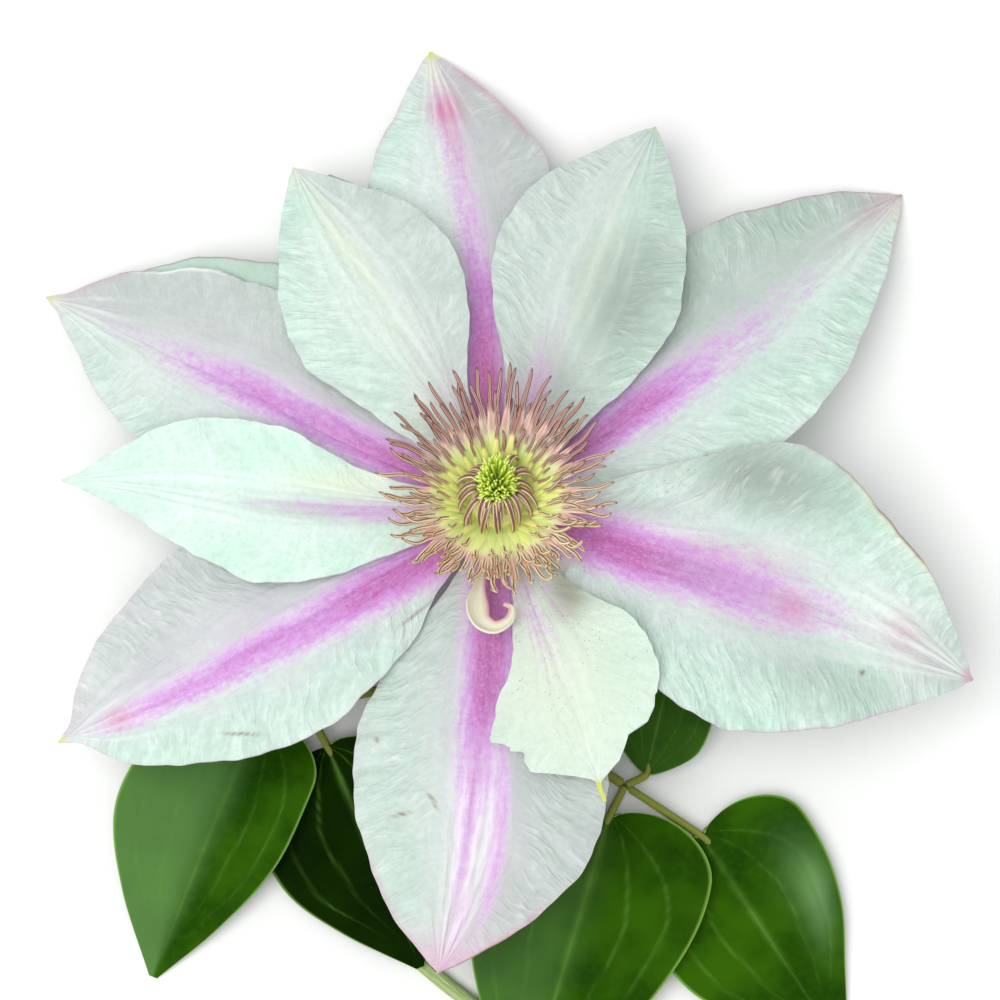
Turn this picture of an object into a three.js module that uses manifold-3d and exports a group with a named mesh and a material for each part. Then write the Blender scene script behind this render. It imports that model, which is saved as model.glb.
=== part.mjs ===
// Clematis flower, as picked: ten sepals in two whorls round a boss of stamens and a pistil,
// on a short length of stem that bends over and lies down with its two leaves.
// Millimetres, +Z up. The flower faces up, and its own axis leans a little towards +Y.

import * as THREE from 'three';
import { mergeVertices } from 'three/addons/utils/BufferGeometryUtils.js';
import Module from 'manifold-3d';

const wasm = await Module();
wasm.setup();

// Pose of the flower over the surface that it lies on. The origin is on that surface, under the
// middle of the whole part's footprint.
const CENTRE_PLACE = { x: 0.1, y: 6.9 };
const CENTRE_HEIGHT = 22;
const AXIS_TILT = THREE.MathUtils.degToRad(8);

// Blades and the gap between a piece and what it is seated on.
const SEPAL_THICKNESS = 0.6;
const LEAF_THICKNESS = 0.7;
const SEAT_GAP = 0.3;

// Receptacle, in heights along the flower's axis from its centre.
const RECEPTACLE_RADIUS = 4.2;
const RECEPTACLE_BOTTOM = -2.4;
const RECEPTACLE_TOP = 2.9;
const BOSS_RADIUS = 1.9;
const BOSS_TOP = 5;
const RECEPTACLE_NECK = 2.4;
const RECEPTACLE_SEGMENTS = 20;

// Sepals. Half widths are measured to the left and right of the midrib, looking from the centre to
// the tip, at the base and at one, two and three quarters of the length. The bow is how far the
// midrib lies left of a straight line at the same quarters, and the rise is the midrib's height over
// the flower's centre at the base, the quarters and the tip. The cup is the height of the margins
// over the midrib at full width. A sepal with no rise at its tip bends down to the surface.
const SEPAL_BASE_RADIUS = RECEPTACLE_RADIUS + SEAT_GAP;
const SEPAL_TIP_HALF_WIDTH = 0.5;
const SEPAL_FULL_HALF_WIDTH = 20;
const SEPAL_KEEL = 0.4;
const MARGIN_WAVE = 0.5;
const MARGIN_WAVES_ALONG = 3;
const SEPAL_LENGTH_STEPS = 13;
const SEPAL_WIDTH_STEPS = 6;
const SEPALS = [
  {
    name: 'sepal_inner_upper_left', azimuth: 119, length: 82, left: [2, 13, 20.5, 14],
    right: [1.5, 4.5, 15, 14.5], bow: [-2.5, -2, -0.5], rise: [2, 4.4, 5.2, 4, 1], cup: -0.8,
  },
  {
    name: 'sepal_inner_upper_right', azimuth: 69, length: 87.5, left: [1.5, 9, 18.5, 15.5],
    right: [2, 12.5, 19, 13.5], bow: [0, 0, 0.5], rise: [2, 4.4, 5.2, 4, 1], cup: -0.8,
  },
  {
    name: 'sepal_inner_left', azimuth: 175, length: 83.5, left: [2.2, 11, 15.5, 8.5],
    right: [1.8, 6, 16.5, 14.5], bow: [2.5, 3, 1.5], rise: [2, 4.6, 5.2, 3, -2], cup: -0.4,
  },
  {
    name: 'sepal_inner_lower_right', azimuth: -71, length: 61, left: [2, 8, 17, 15],
    right: [1.5, 3, 8, 13.5], bow: [-0.5, -0.5, 0], rise: [2, 4.2, 6, 5, 3], cup: 0.8,
  },
  {
    name: 'sepal_outer_top', azimuth: 97.5, length: 104, left: [2, 12, 19.5, 15.5],
    right: [2, 7.5, 15.5, 15.5], bow: [-2, -3, -2], rise: [0, 1, 0, -3], cup: -0.6,
  },
  {
    name: 'sepal_outer_upper_right', azimuth: 42, length: 109, left: [2, 13.5, 22.5, 17.5],
    right: [2, 18, 22.5, 14.5], bow: [-2.5, -4, -3], rise: [0, 1, 0, -4], cup: -0.8,
  },
  {
    name: 'sepal_outer_right', azimuth: -19.5, length: 95, left: [2.5, 17, 29, 20.5],
    right: [2.5, 18.5, 29, 21.5], bow: [1, 2, 2], rise: [1, 2.6, 2.4, 0, -6], cup: 0.6,
  },
  {
    name: 'sepal_outer_bottom', azimuth: -97, length: 88, left: [2, 14, 22.5, 21],
    right: [2, 13.5, 23, 18.5], bow: [2, 3, 3], rise: [0, 1, 0, -4, -10], cup: -1,
  },
  {
    name: 'sepal_outer_lower_left', azimuth: -152, length: 93, left: [2.5, 13.5, 22, 15.5],
    right: [2.5, 13, 23, 19], bow: [1.5, 2.5, 2.5], rise: [1, 2, 1.2, -1.4, -7], cup: 0.2,
  },
  {
    name: 'sepal_outer_left', azimuth: 150, length: 103.5, left: [2, 12.5, 20.5, 15.5],
    right: [2, 18.5, 26.5, 21.5], bow: [2.5, 2.5, 2], rise: [0, 1, 0, -5], cup: 0.6,
  },
];

// Stamens: a seeded spiral on a ring round the pistil, the outer ones spreading the furthest.
const STAMEN_COUNT = 64;
const STAMEN_SEED = 71;
const GOLDEN_ANGLE = Math.PI * (3 - Math.sqrt(5));
const RING_BOTTOM = RECEPTACLE_TOP + SEAT_GAP;
const RING_PROFILE = [[2.3, 0], [4.6, 0], [5.6, 2.4], [4.8, 3.4], [3.2, 3.4], [3, 1.8], [2.3, 1.7], [2.3, 0]];
const STAMEN_ROOT_HEIGHT = 4.2;
const STAMEN_ROOT_RADIUS = { inner: 3.5, outer: 4.2 };
const STAMEN_TIP_RADIUS = { inner: 6.5, outer: 23.5 };
const STAMEN_LENGTH = { inner: 15.5, outer: 21.2 };
const STAMEN_ARCH = 3.2;
const STAMEN_UPPER_LIFT = 3;
const STAMEN_LOWER_DROP = 1;
const STAMEN_MIN_CLIMB = 3;
const STAMEN_STRAIGHTNESS = 0.96;
const STAMEN_JITTER = { azimuth: 0.2, length: 1.2, sway: 0.16 };
const RING_SEGMENTS = 16;
const STRAND_SIDES = 4;
const STRAND_BEND_AT = { reach: 0.35, climb: 0.6 };
// Half width and half thickness from the root of the filament to the tip of the anther.
const STAMEN_SECTIONS = [
  { at: 0, halfWidth: 0.5, halfDepth: 0.4 },
  { at: 0.5, halfWidth: 0.4, halfDepth: 0.32 },
  { at: 0.62, halfWidth: 0.7, halfDepth: 0.45 },
  { at: 0.86, halfWidth: 0.7, halfDepth: 0.45 },
  { at: 1, halfWidth: 0.15, halfDepth: 0.15 },
];

// Pistil: a low dome of carpels with their styles.
const PISTIL_BOTTOM = BOSS_TOP + SEAT_GAP;
const PISTIL_PROFILE = [[0, 0], [2.4, 0], [2.6, 2.6], [2.2, 5.4], [0, 6.6]];
const PISTIL_SEGMENTS = 10;
const STYLE_COUNT = 18;
const STYLE_SEED = 23;
const STYLE_ROOT_HEIGHT = 8.5;
const STYLE_TIP_HEIGHT = 17;
const STYLE_ROOT_RADIUS = 1.9;
const STYLE_TIP_RADIUS = 3.3;
const STYLE_ARCH = 0.6;
const STYLE_OUTER_DROP = 1.6;
const STYLE_SWAY = 0.3;
const STYLE_SECTIONS = [
  { at: 0, halfWidth: 0.5, halfDepth: 0.5 },
  { at: 0.6, halfWidth: 0.36, halfDepth: 0.36 },
  { at: 1, halfWidth: 0.15, halfDepth: 0.15 },
];

// One stamen of the lower side has grown into a small curled blade: points along its middle.
const PETALOID_THICKNESS = 0.6;
const PETALOID_MIDLINE = [
  [-0.9, -4.95, 3.5], [-2.2, -10, 4.1], [-3.8, -16, 5], [-3.8, -21, 5.8], [-0.6, -23.6, 6.8],
  [2.2, -21.4, 7.8],
];
const PETALOID_HALF_WIDTHS = [0.7, 1, 1.6, 2, 1.8, 0.5];
const PETALOID_LENGTH_STEPS = 14;
const PETALOID_WIDTH_STEPS = 4;
const PETALOID_CLEARANCE = { azimuth: -100, halfAngle: 28, lift: 2.5 };

// Stem: it leaves the receptacle's back, bends over and lies on the surface up to its cut end.
const STEM_RADIUS = 1.5;
const STEM_LYING_HEIGHT = 1.2;
const STEM_SIDES = 8;
const STEM_STEPS = 30;
const STEM_BEND = [[0, -2.6, 12.5], [-2, -7, 6], [-5, -15, 2.2]];
const STEM_LYING = [[-9, -28], [-12, -42], [-17, -58], [-20, -70], [-18, -79], [-11, -86], [-3, -92]];
const NODE_RADIUS = 2.6;
const NODE_HEIGHT = 1.7;
const NODE_PLACE = STEM_LYING[0];
const NODE_SEGMENTS = { round: 12, high: 8 };
const SURFACE_CUT = 120;

// Leaves: each a stalk with three leaflets. Half widths, bow, rise and fold are read as for the
// sepals, the lobe is how far the blade reaches back beside its stalk, the fold lifts both margins,
// and the roll lifts the left margin and lowers the right one.
const PETIOLE_RADIUS = 0.95;
const PETIOLULE_RADIUS = 0.75;
const PETIOLE_SIDES = 6;
const PETIOLE_STEPS = 7;
const PETIOLULE_STEPS = 4;
const PETIOLE_START_HEIGHT = 2;
const LEAFLET_END_HALF_WIDTH = 0.8;
const LEAFLET_ROUND_BASE = 0.2;
const LEAFLET_ROW_CROWDING = 1.4;
const LEAFLET_LENGTH_STEPS = 10;
const LEAFLET_WIDTH_STEPS = 6;
const STALK_UNDER_BLADE = 5;
const LEAVES = [
  {
    name: 'leaf_left', bend: [-24, -31, 2.8], junction: [-37, -34, 4],
    leaflets: [
      {
        base: [-45.5, -36.5], heading: -112, length: 53, left: [14, 15, 14, 8.5],
        right: [14, 18, 19, 12], bow: [0, 0, 0], rise: [4.8, 6, 5.2, 3, 0.36], lobe: 5, fold: 0.8,
        roll: 0.6,
      },
      {
        base: [-32.5, -42], heading: -67, length: 46, left: [10, 13, 13, 8],
        right: [13, 18.5, 18, 11], bow: [0, 0, 0], rise: [3.8, 4.6, 4.8, 4.6, 4.2], lobe: 4, fold: 0,
        roll: 2.4,
      },
      {
        base: [-42, -29], heading: 154, length: 34, left: [6, 9, 9, 5.5],
        right: [6, 9, 9, 5.5], bow: [0, 0, 0], rise: [4, 5.4, 6, 5, 3.6], lobe: 2, fold: 1,
        roll: 0,
      },
    ],
  },
  {
    name: 'leaf_right', bend: [9, -39, 3], junction: [24.5, -49.5, 4],
    leaflets: [
      {
        base: [21.5, -55.5], heading: -107, length: 62, left: [19, 22.5, 18, 9],
        right: [17, 20, 18.5, 10], bow: [0, 0, 0], rise: [4.6, 5.4, 5, 3.2, 0.36], lobe: 12, fold: 0.8,
        roll: -0.4,
      },
      {
        base: [39, -59], heading: -57, length: 49, left: [17, 19, 16, 8.5],
        right: [16, 19, 18, 10], bow: [0, 0, 0], rise: [2.6, 2.4, 1.8, 1.2, 0.36], lobe: 9, fold: 0.8,
        roll: 0,
      },
      {
        base: [28.5, -47.5], heading: 76, length: 34, left: [7, 8.5, 8.5, 5],
        right: [8, 9.5, 9.5, 5.5], bow: [0, 0, 0], rise: [4.2, 5.4, 6, 5.4, 4.2], lobe: 2, fold: 1,
        roll: 0,
      },
    ],
  },
];

// Finishes.
const FINISHES = {
  whiteSepal: { color: 0xeef2ea, roughness: 0.55, metalness: 0 },
  stripedSepal: { color: 0xecd9e6, roughness: 0.55, metalness: 0 },
  anther: { color: 0x6d2a45, roughness: 0.6, metalness: 0 },
  style: { color: 0xa9cc35, roughness: 0.5, metalness: 0 },
  petaloid: { color: 0xf0e6cf, roughness: 0.55, metalness: 0 },
  stem: { color: 0x9fae63, roughness: 0.5, metalness: 0 },
  leaf: { color: 0x2c4f33, roughness: 0.35, metalness: 0 },
};

/** A repeatable stream of numbers from 0 to 1. */
function seededRandom(seed) {
  const modulus = 2147483647;
  let state = seed;
  return () => {
    state = (state * 16807) % modulus;
    return state / modulus;
  };
}

/** A smooth curve through values at even stations, read at a fraction from 0 to 1. */
function smoothAt(values, fraction) {
  const spans = values.length - 1;
  const index = Math.min(Math.floor(fraction * spans), spans - 1);
  const t = fraction * spans - index;
  const b = values[index];
  const c = values[index + 1];
  const a = index > 0 ? values[index - 1] : 2 * b - c;
  const d = index + 2 <= spans ? values[index + 2] : 2 * c - b;
  const slope = c - a;
  const square = 2 * a - 5 * b + 4 * c - d;
  const cube = 3 * b - a - 3 * c + d;
  return b + 0.5 * t * (slope + t * (square + t * cube));
}

/** A closed blade: a grid of points along and across it, thickened alike on both faces. */
function bladeGeometry(pointAt, lengthSteps, widthSteps, thickness) {
  const positions = [];
  for (const side of [0.5, -0.5]) {
    for (let i = 0; i <= lengthSteps; i += 1) {
      for (let j = 0; j <= widthSteps; j += 1) {
        const point = pointAt(i / lengthSteps, (2 * j) / widthSteps - 1);
        positions.push(point.x, point.y, point.z + side * thickness);
      }
    }
  }
  const row = widthSteps + 1;
  const lower = row * (lengthSteps + 1);
  const indices = [];
  for (let i = 0; i < lengthSteps; i += 1) {
    for (let j = 0; j < widthSteps; j += 1) {
      const a = i * row + j;
      const b = a + row;
      indices.push(a, b, b + 1, a, b + 1, a + 1);
      indices.push(lower + a, lower + b + 1, lower + b);
      indices.push(lower + a, lower + a + 1, lower + b + 1);
    }
  }
  const rim = [];
  for (let i = 0; i < lengthSteps; i += 1) {
    rim.push([i * row, (i + 1) * row]);
    rim.push([(i + 1) * row + widthSteps, i * row + widthSteps]);
  }
  for (let j = 0; j < widthSteps; j += 1) {
    rim.push([lengthSteps * row + j, lengthSteps * row + j + 1]);
    rim.push([j + 1, j]);
  }
  for (const [a, b] of rim) {
    indices.push(a, lower + a, lower + b, a, lower + b, b);
  }
  const geometry = new THREE.BufferGeometry();
  geometry.setAttribute('position', new THREE.Float32BufferAttribute(positions, 3));
  geometry.setIndex(indices);
  return geometry;
}

/** A closed tapering strand along a curve, with a flattened section that is widest along wide. */
function strandGeometry(curve, sections, sides, wide) {
  const positions = [];
  const indices = [];
  for (const { at, halfWidth, halfDepth } of sections) {
    const centre = curve.getPoint(at);
    const deep = new THREE.Vector3().crossVectors(curve.getTangent(at), wide).normalize();
    for (let k = 0; k < sides; k += 1) {
      const turn = (2 * Math.PI * k) / sides;
      const point = centre.clone()
        .addScaledVector(wide, halfWidth * Math.cos(turn))
        .addScaledVector(deep, halfDepth * Math.sin(turn));
      positions.push(point.x, point.y, point.z);
    }
  }
  for (let i = 0; i < sections.length - 1; i += 1) {
    for (let k = 0; k < sides; k += 1) {
      const a = i * sides + k;
      const b = i * sides + ((k + 1) % sides);
      indices.push(a, b + sides, a + sides, a, b, b + sides);
    }
  }
  const last = (sections.length - 1) * sides;
  for (let k = 1; k < sides - 1; k += 1) {
    indices.push(0, k + 1, k);
    indices.push(last, last + k, last + k + 1);
  }
  const geometry = new THREE.BufferGeometry();
  geometry.setAttribute('position', new THREE.Float32BufferAttribute(positions, 3));
  geometry.setIndex(indices);
  return geometry;
}

/** A closed tube of one radius along a smooth curve through points. */
function tubeGeometry(points, radius, sides, steps) {
  const path = new THREE.CatmullRomCurve3(points.map((point) => new THREE.Vector3(...point)));
  const section = new THREE.Shape();
  for (let k = 0; k < sides; k += 1) {
    const turn = (2 * Math.PI * (k + 0.5)) / sides;
    const x = radius * Math.cos(turn);
    const y = radius * Math.sin(turn);
    if (k === 0) {
      section.moveTo(x, y);
    } else {
      section.lineTo(x, y);
    }
  }
  section.closePath();
  return new THREE.ExtrudeGeometry(section, { steps, bevelEnabled: false, extrudePath: path });
}

/** A geometry as a solid that can be joined and cut. */
function toSolid(geometry) {
  const bare = geometry.clone();
  bare.deleteAttribute('normal');
  bare.deleteAttribute('uv');
  const merged = mergeVertices(bare);
  return new wasm.Manifold(new wasm.Mesh({
    numProp: 3,
    vertProperties: Float32Array.from(merged.attributes.position.array),
    triVerts: Uint32Array.from(merged.index.array),
  }));
}

/** Several geometries joined into one closed body. */
function joined(geometries) {
  return geometries.map(toSolid).reduce((whole, piece) => whole.add(piece));
}

/** The surface of a solid as a geometry. */
function fromSolid(solid) {
  const mesh = solid.getMesh();
  const geometry = new THREE.BufferGeometry();
  const positions = [];
  for (let i = 0; i < mesh.numVert; i += 1) {
    const start = i * mesh.numProp;
    positions.push(...mesh.vertProperties.slice(start, start + 3));
  }
  geometry.setAttribute('position', new THREE.Float32BufferAttribute(positions, 3));
  geometry.setIndex(Array.from(mesh.triVerts));
  return geometry;
}

function piece(name, geometry, finish) {
  geometry.computeVertexNormals();
  const mesh = new THREE.Mesh(geometry, new THREE.MeshStandardMaterial(FINISHES[finish]));
  mesh.name = name;
  return mesh;
}

/** The midrib's height over the centre at the tip of a sepal whose tip touches the surface. */
function surfaceRise(tipForward) {
  const lowered = CENTRE_HEIGHT - tipForward * Math.sin(AXIS_TILT);
  const lowestCorner = SEPAL_TIP_HALF_WIDTH * Math.tan(AXIS_TILT);
  return SEPAL_THICKNESS / 2 + lowestCorner - lowered / Math.cos(AXIS_TILT);
}

function sepal({ name, azimuth, length, left, right, bow, rise, cup }, index) {
  const angle = THREE.MathUtils.degToRad(azimuth);
  const along = new THREE.Vector2(Math.cos(angle), Math.sin(angle));
  const aside = new THREE.Vector2(-along.y, along.x);
  const bows = [0, ...bow, 0];
  const rests = rise.length < 5;
  const rises = rests ? [...rise, surfaceRise(length * along.y)] : rise;
  const leftWidths = [...left, SEPAL_TIP_HALF_WIDTH];
  const rightWidths = [...right, SEPAL_TIP_HALF_WIDTH];
  const pointAt = (s, u) => {
    const forward = SEPAL_BASE_RADIUS + (length - SEPAL_BASE_RADIUS) * s;
    const halfWidth = smoothAt(u > 0 ? leftWidths : rightWidths, s);
    const sideways = smoothAt(bows, s) + u * halfWidth;
    const fullness = halfWidth / SEPAL_FULL_HALF_WIDTH;
    const margin = Math.abs(u) ** 3 * fullness;
    const phase = 1.7 * index + (u > 0 ? 0 : 2);
    const wave = MARGIN_WAVE * margin * Math.sin(2 * Math.PI * MARGIN_WAVES_ALONG * s + phase);
    const keel = SEPAL_KEEL * fullness * Math.max(0, 1 - 3 * Math.abs(u));
    const height = smoothAt(rises, s) + cup * u * u * fullness ** 2 + wave - keel;
    return new THREE.Vector3(
      along.x * forward + aside.x * sideways,
      along.y * forward + aside.y * sideways,
      height,
    );
  };
  const finish = name.includes('inner') ? 'whiteSepal' : 'stripedSepal';
  const blade = bladeGeometry(pointAt, SEPAL_LENGTH_STEPS, SEPAL_WIDTH_STEPS, SEPAL_THICKNESS);
  return piece(name, blade, finish);
}

/** A curve through a point near the axis and a point out from it, arched between them. */
function archedCurve(azimuth, root, tip, arch, sway) {
  const at = (radius, turn, height) => new THREE.Vector3(
    radius * Math.cos(turn),
    radius * Math.sin(turn),
    height,
  );
  const reach = tip.radius - root.radius;
  const climb = tip.height - root.height;
  const middle = at(
    root.radius + reach * STRAND_BEND_AT.reach,
    azimuth,
    root.height + climb * STRAND_BEND_AT.climb + arch,
  );
  return new THREE.QuadraticBezierCurve3(
    at(root.radius, azimuth, root.height),
    middle,
    at(tip.radius, azimuth + sway, tip.height),
  );
}

/** The middle line of one stamen, from its root on the ring to its anther's tip. */
function stamenCurve(azimuth, spread, random) {
  const { lerp, degToRad } = THREE.MathUtils;
  const { inner, outer } = STAMEN_TIP_RADIUS;
  const tipRadius = Math.sqrt(lerp(inner ** 2, outer ** 2, spread));
  const lean = (tipRadius - inner) / (outer - inner);
  const rootRadius = lerp(STAMEN_ROOT_RADIUS.inner, STAMEN_ROOT_RADIUS.outer, lean);
  const length = lerp(STAMEN_LENGTH.inner, STAMEN_LENGTH.outer, lean);
  const chord = STAMEN_STRAIGHTNESS * length + STAMEN_JITTER.length * (random() - 0.5);
  const sway = STAMEN_JITTER.sway * (random() - 0.5);
  const fromPetaloid = Math.cos(azimuth - degToRad(PETALOID_CLEARANCE.azimuth));
  const nearPetaloid = fromPetaloid > Math.cos(degToRad(PETALOID_CLEARANCE.halfAngle));
  const sideLift = Math.max(STAMEN_UPPER_LIFT * Math.sin(azimuth), -STAMEN_LOWER_DROP);
  const lift = lean * (nearPetaloid ? PETALOID_CLEARANCE.lift : sideLift);
  const reach = tipRadius - rootRadius;
  const climb = Math.sqrt(Math.max(chord ** 2 - reach ** 2, STAMEN_MIN_CLIMB ** 2)) + lift;
  return archedCurve(
    azimuth,
    { radius: rootRadius, height: STAMEN_ROOT_HEIGHT },
    { radius: tipRadius, height: STAMEN_ROOT_HEIGHT + climb },
    STAMEN_ARCH * lean + lift / 3,
    sway,
  );
}

function stamens() {
  const random = seededRandom(STAMEN_SEED);
  const profile = RING_PROFILE.map(([radius, height]) => new THREE.Vector2(radius, height));
  const ring = new THREE.LatheGeometry(profile, RING_SEGMENTS)
    .rotateX(Math.PI / 2)
    .translate(0, 0, RING_BOTTOM);
  const strands = [];
  for (let i = 0; i < STAMEN_COUNT; i += 1) {
    const azimuth = i * GOLDEN_ANGLE + STAMEN_JITTER.azimuth * (random() - 0.5);
    const curve = stamenCurve(azimuth, (i + 0.5) / STAMEN_COUNT, random);
    const wide = new THREE.Vector3(-Math.sin(azimuth), Math.cos(azimuth), 0);
    strands.push(strandGeometry(curve, STAMEN_SECTIONS, STRAND_SIDES, wide));
  }
  return piece('stamens', fromSolid(joined([ring, ...strands])), 'anther');
}

function pistil() {
  const random = seededRandom(STYLE_SEED);
  const profile = PISTIL_PROFILE.map(([radius, height]) => new THREE.Vector2(radius, height));
  const dome = new THREE.LatheGeometry(profile, PISTIL_SEGMENTS)
    .rotateX(Math.PI / 2)
    .translate(0, 0, PISTIL_BOTTOM);
  const styles = [];
  for (let i = 0; i < STYLE_COUNT; i += 1) {
    const spread = Math.sqrt((i + 0.5) / STYLE_COUNT);
    const azimuth = i * GOLDEN_ANGLE;
    const curve = archedCurve(
      azimuth,
      { radius: STYLE_ROOT_RADIUS * spread, height: STYLE_ROOT_HEIGHT },
      {
        radius: STYLE_TIP_RADIUS * spread,
        height: STYLE_TIP_HEIGHT - STYLE_OUTER_DROP * spread - random(),
      },
      STYLE_ARCH,
      STYLE_SWAY * (random() - 0.5),
    );
    const wide = new THREE.Vector3(-Math.sin(azimuth), Math.cos(azimuth), 0);
    styles.push(strandGeometry(curve, STYLE_SECTIONS, STRAND_SIDES, wide));
  }
  return piece('pistil', fromSolid(joined([dome, ...styles])), 'style');
}

function petaloidStamen() {
  const midline = new THREE.CatmullRomCurve3(
    PETALOID_MIDLINE.map((point) => new THREE.Vector3(...point)),
  );
  const pointAt = (s, u) => {
    const tangent = midline.getTangent(s);
    const aside = new THREE.Vector3(-tangent.y, tangent.x, 0).normalize();
    const halfWidth = smoothAt(PETALOID_HALF_WIDTHS, s);
    return midline.getPoint(s).addScaledVector(aside, u * halfWidth);
  };
  const blade = bladeGeometry(
    pointAt,
    PETALOID_LENGTH_STEPS,
    PETALOID_WIDTH_STEPS,
    PETALOID_THICKNESS,
  );
  return piece('petaloid_stamen', blade, 'petaloid');
}

function stem() {
  const toRow = new THREE.Matrix4()
    .makeTranslation(0, 0, CENTRE_HEIGHT)
    .multiply(new THREE.Matrix4().makeRotationX(-AXIS_TILT));
  const receptacle = new THREE.LatheGeometry([
    new THREE.Vector2(0, RECEPTACLE_BOTTOM - RECEPTACLE_NECK),
    new THREE.Vector2(STEM_RADIUS, RECEPTACLE_BOTTOM - RECEPTACLE_NECK),
    new THREE.Vector2(RECEPTACLE_RADIUS - 1, RECEPTACLE_BOTTOM),
    new THREE.Vector2(RECEPTACLE_RADIUS, RECEPTACLE_BOTTOM + 1.2),
    new THREE.Vector2(RECEPTACLE_RADIUS, RECEPTACLE_TOP),
    new THREE.Vector2(BOSS_RADIUS, RECEPTACLE_TOP),
    new THREE.Vector2(BOSS_RADIUS - 0.2, BOSS_TOP),
    new THREE.Vector2(0, BOSS_TOP),
  ], RECEPTACLE_SEGMENTS).rotateX(Math.PI / 2).applyMatrix4(toRow);
  const top = new THREE.Vector3(0, 0, RECEPTACLE_BOTTOM).applyMatrix4(toRow);
  const lying = STEM_LYING.map(([x, y]) => [x, y, STEM_LYING_HEIGHT]);
  const route = [top.toArray(), ...STEM_BEND, ...lying];
  const tube = tubeGeometry(route, STEM_RADIUS, STEM_SIDES, STEM_STEPS);
  const node = new THREE.SphereGeometry(NODE_RADIUS, NODE_SEGMENTS.round, NODE_SEGMENTS.high)
    .rotateX(Math.PI / 2)
    .translate(...NODE_PLACE, NODE_HEIGHT);
  const belowSurface = new THREE.BoxGeometry(2 * SURFACE_CUT, 2 * SURFACE_CUT, SURFACE_CUT)
    .translate(0, 0, -SURFACE_CUT / 2);
  const whole = joined([receptacle, tube, node]).subtract(toSolid(belowSurface));
  return piece('stem', fromSolid(whole), 'stem');
}

function leaflet({ base, heading, length, left, right, bow, rise, lobe, fold, roll }) {
  const angle = THREE.MathUtils.degToRad(heading);
  const along = new THREE.Vector2(Math.cos(angle), Math.sin(angle));
  const aside = new THREE.Vector2(-along.y, along.x);
  const leftWidths = [...left, LEAFLET_END_HALF_WIDTH];
  const rightWidths = [...right, LEAFLET_END_HALF_WIDTH];
  const bows = [0, ...bow, 0];
  const roundedAt = (s) => Math.sin(Math.PI / 2 * Math.min(s / LEAFLET_ROUND_BASE, 1)) ** 0.6;
  const pointAt = (step, u) => {
    const s = step ** LEAFLET_ROW_CROWDING;
    const reach = Math.abs(u);
    const forward = length * s - lobe * reach ** 2 * (1 - s) ** 4 * roundedAt(s);
    const fullWidth = smoothAt(u > 0 ? leftWidths : rightWidths, s) * roundedAt(s);
    const halfWidth = Math.max(fullWidth, LEAFLET_END_HALF_WIDTH);
    const sideways = smoothAt(bows, s) + u * halfWidth;
    const spread = Math.sin(Math.PI * Math.min(s + 0.15, 1));
    return new THREE.Vector3(
      base[0] + along.x * forward + aside.x * sideways,
      base[1] + along.y * forward + aside.y * sideways,
      smoothAt(rise, s) + (fold * reach + roll * u) * spread,
    );
  };
  const geometry = bladeGeometry(
    pointAt,
    LEAFLET_LENGTH_STEPS,
    LEAFLET_WIDTH_STEPS,
    LEAF_THICKNESS,
  );
  return { geometry, pointAt, length };
}

function leaf({ name, bend, junction, leaflets }) {
  const outwards = new THREE.Vector2(bend[0] - NODE_PLACE[0], bend[1] - NODE_PLACE[1]).normalize();
  const seat = NODE_RADIUS + SEAT_GAP;
  const start = [
    NODE_PLACE[0] + outwards.x * seat,
    NODE_PLACE[1] + outwards.y * seat,
    PETIOLE_START_HEIGHT,
  ];
  const pieces = [tubeGeometry([start, bend, junction], PETIOLE_RADIUS, PETIOLE_SIDES, PETIOLE_STEPS)];
  for (const blade of leaflets.map(leaflet)) {
    const base = blade.pointAt(0, 0).toArray();
    const under = blade.pointAt(STALK_UNDER_BLADE / blade.length, 0).toArray();
    pieces.push(blade.geometry);
    pieces.push(tubeGeometry([junction, base, under], PETIOLULE_RADIUS, PETIOLE_SIDES, PETIOLULE_STEPS));
  }
  return piece(name, fromSolid(joined(pieces)), 'leaf');
}

const flower = new THREE.Group();
flower.position.z = CENTRE_HEIGHT;
flower.rotation.x = -AXIS_TILT;
flower.add(...SEPALS.map(sepal), stamens(), pistil(), petaloidStamen());

const clematis = new THREE.Group();
clematis.position.set(CENTRE_PLACE.x, CENTRE_PLACE.y, 0);
clematis.add(flower, stem(), ...LEAVES.map(leaf));

export default clematis;
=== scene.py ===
"""Dresses the clematis flower: a finer piece of the same form stands for each plain solid."""

import logging
import math
from copy import copy
from dataclasses import dataclass, field
from enum import Enum
from typing import Optional, Sequence, Union

import bpy
import numpy as np
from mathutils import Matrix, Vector


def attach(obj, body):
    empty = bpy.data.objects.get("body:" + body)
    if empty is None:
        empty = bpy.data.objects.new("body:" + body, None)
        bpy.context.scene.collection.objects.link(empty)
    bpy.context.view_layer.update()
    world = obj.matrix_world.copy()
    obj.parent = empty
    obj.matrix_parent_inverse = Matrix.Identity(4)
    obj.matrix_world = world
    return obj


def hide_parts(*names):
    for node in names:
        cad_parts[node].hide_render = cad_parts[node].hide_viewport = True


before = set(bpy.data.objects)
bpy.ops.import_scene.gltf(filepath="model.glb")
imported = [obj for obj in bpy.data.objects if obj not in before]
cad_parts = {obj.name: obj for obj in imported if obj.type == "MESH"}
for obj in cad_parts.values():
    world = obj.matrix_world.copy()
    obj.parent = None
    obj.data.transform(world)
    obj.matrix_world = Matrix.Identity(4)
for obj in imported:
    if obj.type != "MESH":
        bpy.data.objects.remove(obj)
log = logging.getLogger("clematis")

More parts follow.
